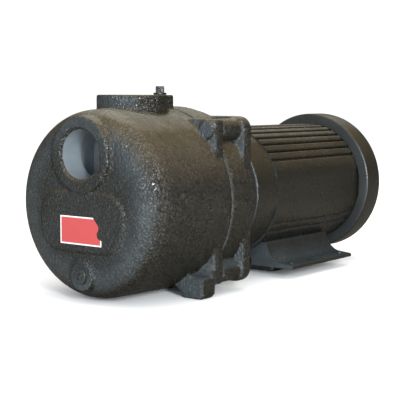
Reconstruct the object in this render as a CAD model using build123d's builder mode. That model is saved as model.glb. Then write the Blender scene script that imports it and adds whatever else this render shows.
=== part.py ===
"""Shallow well jet pump: cast iron wet end, lantern bracket and a finned foot-mounted motor.

Millimetres, +Z up. +X runs along the shaft from the suction port to the fan, and the origin lies
on the floor, below the shaft axis, at the middle of the motor's foot.
"""
from build123d import *
import os
from math import cos, pi, radians, sin

os.makedirs("parts", exist_ok=True)

# ---------------------------------------------------------------- driving dimensions
# heights and fits
shaft_height = 80.0  # shaft axis above the floor, set by the casing's two lugs
motor_centre_height = 71.0  # shaft axis above the motor's own foot
fit = 0.05  # radial clearance between pieces that are fixed together
run_gap = 0.1  # between a turning face and a standing face that seals on it
seat_gap = 0.3  # between pieces that only lie side by side

# pump casing
foot_centre_to_joint = 162.0  # middle of the motor foot to the casing's rear face
casing_depth = 98.5
casing_front_radius = 77.5
casing_rear_radius = 79.5
casing_edge_radius = 21.0
casing_wall = 6.5
mouth_radius = 70.5  # bore at the casing's rear face
flange_thickness = 11.5
ear_half = 69.8  # half the side of the square flange
ear_corner_radius = 2.5
ear_blend_radius = 9.0
lug_length = 16.0
lug_outer = 69.0
lug_inner = 48.0
lug_chamfer = 3.0
lug_flare = 9.0  # how far the lug's root spreads towards the middle
lug_root_drop = 8.0
bolt_pitch = 60.8  # bolt axis from the shaft axis, along Y and along Z
bolt_radius = 4.0
bolt_boss_radius = 7.4
bolt_boss_height = 2.6
bolt_thread_depth = 11.0
bolt_end_gap = 1.0
bolt_flat = 13.0
bolt_head_height = 5.3
bolt_washer_radius = 8.0
bolt_washer = 1.6

# ports: 1 1/4 in pipe thread, cut as a plain bore at its pitch radius
port_radius = 20.1
port_chamfer = 2.2
suction_rise = 41.7  # suction port above the shaft axis
suction_boss_radius = 31.0
suction_boss_height = 3.5
suction_boss_round = 3.2
port_wall = 5.5
discharge_setback = 36.2  # discharge port ahead of the joint face
discharge_boss_radius = 30.2
discharge_height = 90.0  # machined top of the discharge boss above the shaft axis
discharge_bore_length = 24.0
gauge_boss_radius = 11.5
gauge_setback = 8.0
gauge_side = -7.1
gauge_port_radius = 4.9
gauge_port_depth = 13.0
drain_drop = 57.5
drain_boss_radius = 12.2
drain_boss_height = 2.0
drain_port_radius = 6.4
plug_end_gap = 4.0  # thread left free below a plug
gauge_plug_square = 7.0
gauge_plug_square_height = 5.6
gauge_plug_collar = 1.6
drain_plug_proud = 1.5
drain_plug_length = 10.0
drain_plug_socket = 6.0
drain_plug_socket_depth = 4.5

# name pad cast on the front, and its label
pad_width = 90.0
pad_low = -37.0
pad_gap = 0.2  # the pad ends this far below the suction boss
pad_high = suction_rise - suction_boss_radius - pad_gap
pad_corner = 20.0
pad_height = 1.6
label_width = 45.0
label_height = 23.0
label_drop = 20.0
label_thickness = 0.4

# jet: suction pocket, nozzle and venturi, all on the shaft axis
pocket_radius = 21.0
pocket_wall = 5.0
pocket_depth = 17.0
nozzle_inlet_gap = 8.5  # pressure water passes behind the front wall to the nozzle
nozzle_shank_radius = 8.0
nozzle_hex_flat = 22.0
nozzle_hex_length = 4.0
nozzle_tip_radius = 4.6
nozzle_tip_bore = 3.2
nozzle_inlet_bore = 5.5
nozzle_length = 18.5  # from the hexagon's seat, less the wall it screws into
nozzle_tip_land = 3.0
nozzle_end_proud = 1.0
venturi_spigot_radius = 14.0
venturi_throat = 6.5
venturi_throat_length = 4.0
venturi_outlet_bore = 15.0
venturi_outlet_radius = 17.9
venturi_shoulder = 3.0
venturi_shoulder_rise = 3.0
venturi_spigot_wall = 3.5
venturi_spigot_proud = 2.5
venturi_waist = 11.5
venturi_end_gap = 2.0
oring_section = 1.25
oring_groove = 2.8

# impeller and diffuser
impeller_radius = 50.0
impeller_back_gap = 10.5  # back of the impeller ahead of the joint face
shroud = 2.5
impeller_passage = 7.5
impeller_eye_radius = 17.0
impeller_neck_radius = 19.0
impeller_neck_length = 4.6
impeller_hub_radius = 10.5
impeller_blades = 6
blade_thickness = 2.2
blade_start_radius = 18.5
blade_middle = (36.0, 25.0)  # radius, degrees
blade_sweep = 62.0  # degrees
blade_tip_gap = 0.5
diffuser_radius = 62.5
diffuser_wall = 3.0
diffuser_gap = 2.2
diffuser_vanes = 9
vane_inner_radius = 52.5
vane_thickness = 2.2
vane_sweep = 28.0  # degrees
socket_length = 9.5
socket_wall = 3.5

# shaft steps, by radius
nose_thread_radius = 5.0
seal_seat_radius = 6.0
slinger_seat_radius = 8.4
slinger_radius = 18.0
slinger_length = 9.0
front_bearing_bore = 8.5
rotor_seat_radius = 10.0
rear_bearing_bore = 7.5
fan_seat_radius = 6.0
shaft_shoulder = 4.0  # slinger seat starts this far behind the standing seal ring
clip_groove_depth = 0.8
clip_groove_width = 1.1
clip_thickness = 1.0
clip_rise = 2.2
clip_mouth = 7.0
clip_gap = 0.2
key_width = 4.0
key_height = 4.0
key_setback = 1.5
key_length = 8.0
nut_flat = 15.0
nut_length = 7.0
nut_washer = 1.5

# mechanical seal
seal_pocket_radius = 17.0
seat_cup_radius = 14.0
seat_ring_radius = 12.0
seal_face_radius = 13.5
seal_ring_width = 3.0
seal_ring_length = 7.0
seal_setback = 6.0  # standing seal face behind the joint face
seal_cup_lip = 1.5
seal_cup_inset = 2.0
seal_cup_start = 1.2
bellows_start = 4.0
shaft_gap = 0.6  # radial gap round the shaft where it passes a standing piece
bellows_radius = 9.6
spring_radius = 11.6
spring_wire = 0.7
spring_turns = 4

# bracket between casing and motor
gasket_thickness = 1.0
gasket_outer = 78.0
gasket_inset = 0.8
bracket_depth = 35.3
bracket_radius = 79.8
bracket_rear_radius = 77.7
plate_thickness = 11.3
plate_half_width = 73.0
plate_half_height = 71.7
plate_corner = 11.0
column_radius = 9.2
seal_wall = 8.0
bracket_wall = 6.0
spigot_length = 5.5
neck_radius = 50.0
neck_wall = 8.0
neck_length = 29.2
neck_floor = 7.0
neck_opening_radius = 24.0
seal_boss_radius = 22.0
seal_boss_cover = 4.0
bracket_screw_circle = 35.0
bracket_screw_radius = 3.0
bracket_screw_grip = 11.0
bracket_screw_hole = 13.0
bracket_screw_head = 5.5
bracket_screw_head_radius = 5.0
bracket_screw_socket = 5.0
weep_width = 12.0

# motor
shield_radius = 60.2
shield_length = 25.5
shield_wall = 5.0
register_length = 5.0
register_wall = 4.0
housing_wall = 5.0
bearing_setback = 1.0
screw_seat_radius = 7.0
screw_seat_depth = 9.0
rod_seat_radius = 6.0
rod_seat_inset = 3.5
frame_radius = 60.5
frame_bore = 53.5
frame_length = 163.0
groove_depth = 3.4
groove_width = 2.3
groove_pitch = 8.6  # degrees
flat_depth = 2.9
flat_top = 28.0
flat_bottom = -24.0
foot_length = 110.0
foot_half_width = 71.5
foot_tip = 3.2
foot_top = -43.5  # no cooling grooves below this height
foot_toe = 13.0  # flat toe ahead of the curve
foot_sweep = 30.0
foot_rise = 19.5
foot_hollow_height = 7.0
foot_web = 4.0
foot_hole_radius = 3.5
foot_hole_x = 90.0
foot_hole_y = 128.0
pad_length = 60.0
pad_half_width = 33.0
support_pad_corner = 5.0
stator_length = 72.0
stator_bore = 31.0
stator_slots = 24
slot_inner = 33.0
slot_outer = 44.5
slot_width = 4.6
winding_overhang = 20.0
air_gap = 0.3
rotor_ring_length = 8.0
rotor_ring_inner = 18.0
rotor_ring_inset = 1.5
stir_blades = 8
stir_blade_circle = 25.0
stir_blade_section = (7.0, 2.0)
stir_blade_length = 12.0
stir_blade_proud = 6.0
rod_circle = 50.7
rod_radius = 2.4
rear_shield_thickness = 5.0
wave_washer_space = 0.6
wave_washer_width = 3.2
rod_grip = 2.0
rod_head_flat = 8.0
rod_head_height = 1.9

# bearings: bore radius, outside radius, width, ball radius, number of balls
front_bearing = (front_bearing_bore, 20.0, 12.0, 3.375, 8)
rear_bearing = (rear_bearing_bore, 17.5, 11.0, 3.0, 8)
race_thickness = 2.6
ball_gap = 0.05
cage_thickness = 1.6
cage_rim = 1.4

# fan and its cover
cover_radius = 71.0
cover_wall = 2.0
cover_length = 29.0
cover_edge_radius = 6.0
cover_lip = 1.8
cover_overlap = 4.0
grille_slots = 20
grille_rings = ((16.0, 29.0), (33.0, 46.0))
cover_screw_circle = 55.5
cover_post_radius = 4.4
cover_screw_radius = 2.0
cover_screws = 4
fan_radius = 49.0
fan_hub_radius = 13.0
fan_length = 11.0
fan_plate = 2.0
fan_blades = 9
fan_gap = 2.5
grille_slot_width = 3.2
cover_screw_grip = 9.0
cover_screw_head = 2.2
cover_screw_head_radius = 3.6
recess_width = 0.9  # arms of a cross recess
recess_length = 4.0
recess_depth = 1.2

# terminal box on the far side of the motor
box_length = 84.0
box_height = 58.0
box_depth = 34.0
box_wall = 3.0
box_corner = 6.0
box_gasket = 1.0
lid_depth = 9.0
box_screw_inset = 6.5
box_screw_radius = 2.0
box_shift = -6.0
box_screw_grip = 10.0
box_screw_hole = 14.0
box_screw_recess = 3.4
box_screw_recess_radius = 4.2
box_screw_head_radius = 3.6
box_screw_head = 2.4
box_post_radius = 5.0
lid_round = 3.0
capacitor_radius = 13.5
capacitor_length = 56.0
capacitor_round = 1.5
block_size = (40.0, 12.0, 13.0)
block_shift = 8.0
block_lift = 1.5
block_ways = 4
block_pitch = 9.5
block_hole_radius = 2.4
block_hole_depth = 4.0
gland_radius = 8.0
gland_bore = 4.5
gland_body_length = 13.0
gland_hex = 5.0
gland_hex_rise = 2.5
gland_inside = 4.0  # thread that stands inside the box's floor
gland_nut_cap = 3.0
gland_shift = 18.0
gland_reach = 21.5  # from the back of the box, so that the cord hangs clear of the motor's foot

# ---------------------------------------------------------------- stations along the shaft
joint_x = -foot_centre_to_joint
casing_front_x = joint_x - casing_depth
flange_front_x = joint_x - flange_thickness
cavity_front_x = casing_front_x + casing_wall
suction_face_x = casing_front_x - suction_boss_height
pocket_front_x = cavity_front_x + nozzle_inlet_gap
pocket_x = pocket_front_x + pocket_wall
pocket_rear_x = pocket_x + pocket_depth
venturi_seat_x = pocket_rear_x + pocket_wall
discharge_x = joint_x - discharge_setback
gauge_x = joint_x - gauge_setback
impeller_back_x = joint_x - impeller_back_gap
impeller_front_x = impeller_back_x - 2 * shroud - impeller_passage
diffuser_rear_x = impeller_front_x - diffuser_gap
diffuser_front_x = diffuser_rear_x - diffuser_wall
bracket_x = joint_x + gasket_thickness
wet_face_x = bracket_x - gasket_thickness - spigot_length
bracket_rear_x = bracket_x + bracket_depth
plate_x = bracket_rear_x - plate_thickness
shield_x = bracket_rear_x + neck_length
frame_x = shield_x + shield_length
frame_end_x = frame_x + frame_length
rear_face_x = frame_end_x + rear_shield_thickness
cover_x = frame_end_x - cover_overlap
cover_end_x = cover_x + cover_length
front_bearing_x = shield_x + shield_wall + bearing_setback
rear_bearing_x = frame_end_x - rear_bearing[2] - bearing_setback
stator_x = frame_x + (frame_length - stator_length) / 2 - 8.0
stator_end_x = stator_x + stator_length
fan_x = rear_face_x + fan_gap
shaft_end_x = fan_x + fan_length + 2.0
shaft_nose_x = impeller_front_x - nut_washer - nut_length - 1.5
foot_z = shaft_height - motor_centre_height

# ---------------------------------------------------------------- planes
shaft_axis = Axis((0, 0, shaft_height), (1, 0, 0))
shaft_plane = Plane(origin=(0, 0, shaft_height), x_dir=(1, 0, 0), z_dir=(0, -1, 0))


def across(x):
    """Plane across the shaft at station x: sketch X is +Y and sketch Y is +Z, from the shaft axis."""
    return Plane(origin=(x, 0, shaft_height), x_dir=(0, 1, 0), z_dir=(1, 0, 0))


def level(z):
    """Horizontal plane at height z above the shaft axis."""
    return Plane.XY.offset(shaft_height + z)


def finish(builder, label):
    """Name a finished piece and write its file."""
    builder.part.label = label
    export_step(builder.part, f"parts/{label}.step")


def write_ring(label, start, end, outer, inner):
    """A plain ring about the shaft axis, such as a washer or a race blank."""
    with BuildPart() as ring:
        with BuildSketch(across(start)):
            Circle(outer)
            Circle(inner, mode=Mode.SUBTRACT)
        extrude(amount=end - start)
    finish(ring, label)


four_corners = [(y, z) for y in (-bolt_pitch, bolt_pitch) for z in (-bolt_pitch, bolt_pitch)]

# ---------------------------------------------------------------- pump casing
with BuildPart() as pump_casing:
    # drum with a drafted side and a deep rounded front edge, turned about the shaft axis
    with BuildSketch(shaft_plane) as drum_profile:
        with BuildLine():
            Polyline(
                (casing_front_x, 0),
                (casing_front_x, casing_front_radius),
                (flange_front_x, casing_rear_radius),
                (joint_x, casing_rear_radius),
                (joint_x, 0),
                close=True,
            )
        make_face()
        outer_corner = drum_profile.vertices().sort_by_distance((casing_front_x, casing_front_radius))[0]
        fillet(outer_corner, casing_edge_radius)
    revolve(axis=shaft_axis)
    # square flange with four ears
    with BuildSketch(across(flange_front_x)) as flange_outline:
        Rectangle(2 * ear_half, 2 * ear_half)
        Circle(casing_rear_radius)
        by_reach = flange_outline.vertices().sort_by_distance((0, 0))
        fillet(by_reach[-4:], ear_corner_radius)
        notches = flange_outline.vertices().sort_by_distance((0, 0))[:8]
        fillet(notches, ear_blend_radius)
    extrude(amount=flange_thickness)
    # two lugs that the wet end stands on
    with BuildSketch(across(flange_front_x - lug_length)):
        with BuildLine():
            Polyline(
                (lug_outer, -ear_half + lug_root_drop),
                (lug_outer, -shaft_height + lug_chamfer),
                (lug_outer - lug_chamfer, -shaft_height),
                (lug_inner, -shaft_height),
                (lug_inner - lug_chamfer / 2, -shaft_height + lug_chamfer),
                (lug_inner - lug_flare, -casing_front_radius + casing_wall),
                (lug_inner - lug_flare, -ear_half + lug_root_drop),
                close=True,
            )
        make_face()
        mirror(about=Plane.YZ)
    extrude(amount=lug_length)
    # rounded boss over each blind bolt hole
    with BuildSketch(across(flange_front_x - bolt_boss_height)):
        with Locations(*four_corners):
            Circle(bolt_boss_radius)
    extrude(amount=bolt_boss_height)
    # port bosses
    with BuildSketch(across(suction_face_x)):
        with Locations((0, suction_rise)):
            Circle(suction_boss_radius)
    extrude(amount=suction_boss_height + casing_wall)
    with BuildSketch(level(discharge_height)):
        with Locations((discharge_x, 0)):
            Circle(discharge_boss_radius)
        with Locations((gauge_x, gauge_side)):
            Circle(gauge_boss_radius)
    extrude(amount=-(discharge_height - mouth_radius + 4))
    with BuildSketch(across(casing_front_x - drain_boss_height)):
        with Locations((0, -drain_drop)):
            Circle(drain_boss_radius)
    extrude(amount=drain_boss_height + casing_edge_radius / 2)
    # name pad, a shallow raised lozenge under the suction boss
    with BuildSketch(across(casing_front_x - pad_height)) as pad_outline:
        with Locations((0, (pad_low + pad_high) / 2)):
            RectangleRounded(pad_width, pad_high - pad_low, pad_corner)
    extrude(amount=pad_height + casing_wall / 2)
    # everything behind the joint face is machined flat
    with BuildSketch(across(joint_x)):
        Rectangle(4 * ear_half, 4 * ear_half)
    extrude(amount=gauge_boss_radius + discharge_boss_radius, mode=Mode.SUBTRACT)
    # cavity
    with BuildSketch(shaft_plane) as cavity_profile:
        with BuildLine():
            Polyline(
                (cavity_front_x, 0),
                (cavity_front_x, casing_front_radius - casing_wall),
                (joint_x - 2, casing_rear_radius - casing_wall),
                (joint_x - 2, mouth_radius),
                (joint_x, mouth_radius),
                (joint_x, 0),
                close=True,
            )
        make_face()
        inner_radius = casing_front_radius - casing_wall
        inner_corner = cavity_profile.vertices().sort_by_distance((cavity_front_x, inner_radius))[0]
        fillet(inner_corner, casing_edge_radius - casing_wall)
    revolve(axis=shaft_axis, mode=Mode.SUBTRACT)
    # walls of the suction pocket and the collars that carry the port threads inwards
    with BuildSketch(across(pocket_front_x)):
        with Locations((0, suction_rise / 2)):
            SlotCenterToCenter(suction_rise, 2 * (pocket_radius + pocket_wall), rotation=90)
    extrude(amount=2 * pocket_wall + pocket_depth)
    with BuildSketch(across(cavity_front_x)):
        with Locations((0, suction_rise)):
            Circle(port_radius + port_wall)
    extrude(amount=nozzle_inlet_gap)
    with BuildSketch(level(discharge_height - discharge_bore_length)):
        with Locations((discharge_x, 0)):
            Circle(port_radius + port_wall)
    extrude(amount=discharge_bore_length - 5)
    # the pocket itself, then the bores
    with BuildSketch(across(pocket_x)):
        with Locations((0, suction_rise / 2)):
            SlotCenterToCenter(suction_rise, 2 * pocket_radius, rotation=90)
    extrude(amount=pocket_depth, mode=Mode.SUBTRACT)
    with BuildSketch(across(suction_face_x)):
        with Locations((0, suction_rise)):
            Circle(port_radius)
    extrude(amount=pocket_x - suction_face_x, mode=Mode.SUBTRACT)
    with BuildSketch(level(discharge_height)):
        with Locations((discharge_x, 0)):
            Circle(port_radius)
    extrude(amount=-discharge_bore_length, mode=Mode.SUBTRACT)
    with BuildSketch(level(discharge_height)):
        with Locations((gauge_x, gauge_side)):
            Circle(gauge_port_radius)
    extrude(amount=-gauge_port_depth, mode=Mode.SUBTRACT)
    with BuildSketch(across(casing_front_x - drain_boss_height)):
        with Locations((0, -drain_drop)):
            Circle(drain_port_radius)
    extrude(amount=drain_boss_height + casing_edge_radius, mode=Mode.SUBTRACT)
    with BuildSketch(across(pocket_front_x)):
        Circle(nozzle_shank_radius + fit)
    extrude(amount=pocket_wall, mode=Mode.SUBTRACT)
    with BuildSketch(across(pocket_rear_x)):
        Circle(venturi_spigot_radius + fit)
    extrude(amount=pocket_wall, mode=Mode.SUBTRACT)
    with BuildSketch(across(joint_x)):
        with Locations(*four_corners):
            Circle(bolt_radius + fit)
    extrude(amount=-bolt_thread_depth, mode=Mode.SUBTRACT)
    # rounded and chamfered edges of the bosses
    suction_rim = pump_casing.edges().filter_by(GeomType.CIRCLE).group_by(Axis.X)[0]
    fillet(suction_rim.sort_by(SortBy.RADIUS)[-1], suction_boss_round)
    suction_mouth = pump_casing.edges().filter_by(GeomType.CIRCLE).group_by(Axis.X)[0]
    chamfer(suction_mouth.sort_by(SortBy.RADIUS)[0], port_chamfer)
    top_edges = pump_casing.edges().filter_by(GeomType.CIRCLE).group_by(Axis.Z)[-1]
    discharge_mouth = top_edges.filter_by(lambda e: abs(e.radius - port_radius) < 0.01)
    chamfer(discharge_mouth, port_chamfer)
finish(pump_casing, "pump_casing")

# ---------------------------------------------------------------- plugs and label on the casing
plug_base_z = shaft_height + discharge_height
with BuildPart() as gauge_plug:
    # threaded plug with a square head
    with BuildSketch(Plane.XY.offset(plug_base_z - gauge_port_depth + plug_end_gap)):
        with Locations((gauge_x, gauge_side)):
            Circle(gauge_port_radius - fit)
    extrude(amount=gauge_port_depth - plug_end_gap)
    with BuildSketch(Plane.XY.offset(plug_base_z)):
        with Locations((gauge_x, gauge_side)):
            Circle(gauge_port_radius + gauge_plug_collar / 2)
    extrude(amount=gauge_plug_collar)
    with BuildSketch(Plane.XY.offset(plug_base_z + gauge_plug_collar)):
        with Locations((gauge_x, gauge_side)):
            Rectangle(gauge_plug_square, gauge_plug_square, rotation=35)
    extrude(amount=gauge_plug_square_height)
    chamfer(gauge_plug.edges().group_by(Axis.Z)[-1], 0.5)
finish(gauge_plug, "gauge_plug")

drain_plug_x = casing_front_x - drain_boss_height - drain_plug_proud
with BuildPart() as drain_plug:
    # threaded plug with a square socket, a little proud of its boss
    with BuildSketch(across(drain_plug_x)):
        with Locations((0, -drain_drop)):
            Circle(drain_port_radius - fit)
    extrude(amount=drain_plug_length)
    chamfer(drain_plug.edges().group_by(Axis.X)[0], 0.8)
    with BuildSketch(across(drain_plug_x)):
        with Locations((0, -drain_drop)):
            Rectangle(drain_plug_socket, drain_plug_socket)
    extrude(amount=drain_plug_socket_depth, mode=Mode.SUBTRACT)
finish(drain_plug, "drain_plug")

with BuildPart() as name_label:
    # blank rectangular sticker on the name pad
    with BuildSketch(across(casing_front_x - pad_height - label_thickness)):
        with Locations((0, -label_drop)):
            RectangleRounded(label_width, label_height, 1.0)
    extrude(amount=label_thickness)
finish(name_label, "name_label")

# ---------------------------------------------------------------- jet nozzle and venturi
nozzle_hex_x = pocket_x
nozzle_tip_x = nozzle_hex_x + nozzle_length - pocket_wall - nozzle_end_proud
with BuildPart() as jet_nozzle:
    with BuildSketch(shaft_plane):
        with BuildLine():
            Polyline(
                (pocket_front_x - nozzle_end_proud, 0),
                (pocket_front_x - nozzle_end_proud, nozzle_shank_radius),
                (nozzle_hex_x + nozzle_hex_length, nozzle_shank_radius),
                (nozzle_tip_x, nozzle_tip_radius),
                (nozzle_tip_x, 0),
                close=True,
            )
        make_face()
    revolve(axis=shaft_axis)
    with BuildSketch(across(nozzle_hex_x)):
        RegularPolygon(nozzle_hex_flat / 2, 6, major_radius=False)
    extrude(amount=nozzle_hex_length)
    with BuildSketch(shaft_plane):
        with BuildLine():
            Polyline(
                (pocket_front_x - nozzle_end_proud, 0),
                (pocket_front_x - nozzle_end_proud, nozzle_inlet_bore),
                (nozzle_hex_x + nozzle_end_proud, nozzle_inlet_bore),
                (nozzle_tip_x - nozzle_tip_land, nozzle_tip_bore),
                (nozzle_tip_x, nozzle_tip_bore),
                (nozzle_tip_x, 0),
                close=True,
            )
        make_face()
    revolve(axis=shaft_axis, mode=Mode.SUBTRACT)
finish(jet_nozzle, "jet_nozzle")

venturi_front_x = pocket_rear_x - venturi_spigot_proud
venturi_end_x = diffuser_front_x - venturi_end_gap
groove_x = pocket_rear_x + pocket_wall / 2
groove_radius = venturi_spigot_radius - 2 * oring_section - fit
with BuildPart() as venturi_tube:
    # spigot with an o-ring groove, shoulder, waist and flared outlet
    with BuildSketch(shaft_plane):
        with BuildLine():
            Polyline(
                (venturi_front_x, venturi_spigot_radius - venturi_spigot_wall),
                (venturi_front_x, venturi_spigot_radius - 1),
                (venturi_front_x + 1, venturi_spigot_radius),
                (groove_x - oring_groove / 2, venturi_spigot_radius),
                (groove_x - oring_groove / 2, groove_radius),
                (groove_x + oring_groove / 2, groove_radius),
                (groove_x + oring_groove / 2, venturi_spigot_radius),
                (venturi_seat_x, venturi_spigot_radius),
                (venturi_seat_x, venturi_spigot_radius + venturi_shoulder_rise),
                (venturi_seat_x + venturi_shoulder, venturi_spigot_radius + venturi_shoulder_rise),
                (venturi_seat_x + venturi_shoulder, venturi_waist),
                (diffuser_front_x - socket_length - 1, venturi_outlet_radius),
                (venturi_end_x, venturi_outlet_radius),
                (venturi_end_x, venturi_outlet_bore),
                (venturi_seat_x + venturi_throat_length / 2, venturi_throat),
                (venturi_seat_x - venturi_throat_length / 2, venturi_throat),
                close=True,
            )
        make_face()
    revolve(axis=shaft_axis)
finish(venturi_tube, "venturi_tube")

with BuildPart() as venturi_oring:
    with BuildSketch(shaft_plane):
        with Locations((groove_x, venturi_spigot_radius - oring_section)):
            Circle(oring_section)
    revolve(axis=shaft_axis)
finish(venturi_oring, "venturi_oring")

# ---------------------------------------------------------------- diffuser
diffuser_back_x = wet_face_x
vane_tip_y = diffuser_radius * cos(radians(vane_sweep))
with BuildPart() as diffuser:
    # front disc with the socket that takes the venturi's outlet
    with BuildSketch(across(diffuser_front_x)):
        Circle(diffuser_radius)
    extrude(amount=diffuser_wall)
    with BuildSketch(across(diffuser_front_x - socket_length)):
        Circle(venturi_outlet_radius + fit + socket_wall)
    extrude(amount=socket_length)
    with BuildSketch(across(diffuser_front_x - socket_length)):
        Circle(venturi_outlet_radius + fit)
    extrude(amount=socket_length - 1, mode=Mode.SUBTRACT)
    with BuildSketch(across(diffuser_front_x - socket_length)):
        Circle(venturi_outlet_bore)
    extrude(amount=socket_length + diffuser_wall, mode=Mode.SUBTRACT)
    with BuildSketch(across(diffuser_front_x - 0.5)):
        Circle(impeller_neck_radius + seat_gap)
    extrude(amount=diffuser_wall + 0.5, mode=Mode.SUBTRACT)
    # guide vanes that stand on the bracket's face
    with BuildSketch(across(diffuser_rear_x)):
        with PolarLocations(0, diffuser_vanes):
            with BuildLine():
                Polyline(
                    (vane_inner_radius, 0),
                    (vane_inner_radius + vane_thickness / 2, -vane_thickness),
                    (vane_tip_y, diffuser_radius * sin(radians(vane_sweep - 12))),
                    (vane_tip_y, diffuser_radius * sin(radians(vane_sweep - 3))),
                    close=True,
                )
            make_face()
    extrude(amount=diffuser_back_x - diffuser_rear_x)
finish(diffuser, "diffuser")

# ---------------------------------------------------------------- impeller and what holds it
middle_radius = blade_middle[0]
middle_angle = radians(blade_middle[1])
tip_radius = impeller_radius - blade_tip_gap
with BuildPart() as impeller:
    with BuildSketch(across(impeller_back_x - shroud)):
        Circle(impeller_radius)
    extrude(amount=shroud)
    with BuildSketch(across(impeller_front_x)):
        Circle(impeller_radius)
        Circle(impeller_eye_radius, mode=Mode.SUBTRACT)
    extrude(amount=shroud)
    with BuildSketch(across(impeller_front_x - impeller_neck_length)):
        Circle(impeller_neck_radius)
        Circle(impeller_eye_radius, mode=Mode.SUBTRACT)
    extrude(amount=impeller_neck_length)
    with BuildSketch(across(impeller_front_x)):
        Circle(impeller_hub_radius)
    extrude(amount=impeller_back_x - impeller_front_x)
    # backward-curved blades between the shrouds
    with BuildSketch(across(impeller_front_x + shroud)):
        with PolarLocations(0, impeller_blades):
            with BuildLine() as blade_line:
                ThreePointArc(
                    (blade_start_radius, 0),
                    (middle_radius * cos(middle_angle), middle_radius * sin(middle_angle)),
                    (tip_radius * cos(radians(blade_sweep)), tip_radius * sin(radians(blade_sweep))),
                )
                offset(amount=blade_thickness / 2)
            make_face()
    extrude(amount=impeller_passage)
    with BuildSketch(across(impeller_front_x)):
        Circle(seal_seat_radius + fit)
        with Locations((0, seal_seat_radius)):
            Rectangle(key_width + 2 * fit, key_height + 2 * fit)
    extrude(amount=impeller_back_x - impeller_front_x, mode=Mode.SUBTRACT)
finish(impeller, "impeller")

key_x = impeller_back_x - key_setback - key_length
with BuildPart() as impeller_key:
    with BuildSketch(across(key_x)):
        with Locations((0, seal_seat_radius)):
            Rectangle(key_width, key_height)
    extrude(amount=key_length)
finish(impeller_key, "impeller_key")

nut_washer_x = impeller_front_x - nut_washer
write_ring(
    "impeller_washer",
    nut_washer_x,
    impeller_front_x,
    impeller_hub_radius - 0.5,
    nose_thread_radius + fit,
)

with BuildPart() as impeller_nut:
    with BuildSketch(across(nut_washer_x - nut_length)):
        RegularPolygon(nut_flat / 2, 6, major_radius=False)
        Circle(nose_thread_radius + fit, mode=Mode.SUBTRACT)
    extrude(amount=nut_length)
finish(impeller_nut, "impeller_nut")

# ---------------------------------------------------------------- mechanical seal
seat_face_x = joint_x + seal_setback
seat_back_x = seat_face_x + seal_ring_length
seal_face_x = seat_face_x - run_gap - seal_ring_width
write_ring("seal_seat", seat_face_x, seat_back_x, seat_ring_radius, slinger_seat_radius + shaft_gap)

with BuildPart() as seal_cup:
    # rubber cup round the standing ring, with a lip behind it
    with BuildSketch(shaft_plane):
        with BuildLine():
            Polyline(
                (seat_face_x + seal_cup_start, seat_ring_radius + fit),
                (seat_face_x + seal_cup_start, seat_cup_radius),
                (seat_back_x + seal_cup_lip, seat_cup_radius),
                (seat_back_x + seal_cup_lip, seat_ring_radius - seal_cup_inset),
                (seat_back_x, seat_ring_radius - seal_cup_inset),
                (seat_back_x, seat_ring_radius + fit),
                close=True,
            )
        make_face()
    revolve(axis=shaft_axis)
finish(seal_cup, "seal_cup")

write_ring(
    "seal_face_ring",
    seal_face_x,
    seal_face_x + seal_ring_width,
    seal_face_radius,
    seal_seat_radius + shaft_gap,
)
bellows_x = impeller_back_x + bellows_start
write_ring("seal_bellows", bellows_x, seal_face_x, bellows_radius, seal_seat_radius + fit)

spring_x = impeller_back_x + spring_wire + fit
spring_rise = seal_face_x - spring_wire - fit - spring_x
spring_pitch = spring_rise / spring_turns
with BuildPart() as seal_spring:
    # round wire coiled about the bellows
    with BuildLine() as spring_line:
        Helix(
            spring_pitch,
            spring_rise,
            spring_radius,
            center=(spring_x, 0, shaft_height),
            direction=(1, 0, 0),
        )
    with BuildSketch(Plane(origin=spring_line.line @ 0, z_dir=spring_line.line % 0)):
        Circle(spring_wire)
    sweep(is_frenet=True)
finish(seal_spring, "seal_spring")

# ---------------------------------------------------------------- shaft
with BuildPart() as motor_shaft:
    steps = (
        (shaft_nose_x, impeller_front_x, nose_thread_radius),
        (impeller_front_x, seat_back_x + shaft_shoulder, seal_seat_radius),
        (seat_back_x + shaft_shoulder, front_bearing_x, slinger_seat_radius),
        (front_bearing_x, front_bearing_x + front_bearing[2], front_bearing_bore - fit),
        (front_bearing_x + front_bearing[2], rear_bearing_x, rotor_seat_radius),
        (rear_bearing_x, rear_bearing_x + rear_bearing[2], rear_bearing_bore - fit),
        (rear_bearing_x + rear_bearing[2], shaft_end_x, fan_seat_radius),
    )
    for start, end, radius in steps:
        with BuildSketch(across(start)):
            Circle(radius)
        extrude(amount=end - start)
    with BuildSketch(across(key_x - fit)):
        with Locations((0, seal_seat_radius)):
            Rectangle(key_width + 2 * fit, key_height + 2 * fit)
    extrude(amount=key_length + 2 * fit, mode=Mode.SUBTRACT)
    clip_x = fan_x + fan_length + clip_gap
    with BuildSketch(across(clip_x)):
        Circle(2 * fan_seat_radius)
        Circle(fan_seat_radius - clip_groove_depth, mode=Mode.SUBTRACT)
    extrude(amount=clip_groove_width, mode=Mode.SUBTRACT)
finish(motor_shaft, "motor_shaft")

slinger_x = bracket_rear_x - 2.0
slinger_hub = slinger_seat_radius + 3.0
slinger_bore = slinger_seat_radius + fit
with BuildPart() as water_slinger:
    # rubber disc that throws a leak off the shaft before it reaches the bearing
    with BuildSketch(shaft_plane):
        with BuildLine():
            Polyline(
                (slinger_x, slinger_bore),
                (slinger_x, slinger_hub),
                (slinger_x + 0.2 * slinger_length, slinger_hub + 0.5),
                (slinger_x + 0.45 * slinger_length, slinger_radius),
                (slinger_x + 0.6 * slinger_length, slinger_radius),
                (slinger_x + 0.5 * slinger_length, slinger_hub + 0.5),
                (slinger_x + slinger_length, slinger_hub),
                (slinger_x + slinger_length, slinger_bore),
                close=True,
            )
        make_face()
    revolve(axis=shaft_axis)
finish(water_slinger, "water_slinger")

# ---------------------------------------------------------------- casing gasket
write_ring("casing_gasket", joint_x, bracket_x, gasket_outer, mouth_radius + gasket_inset)

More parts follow.
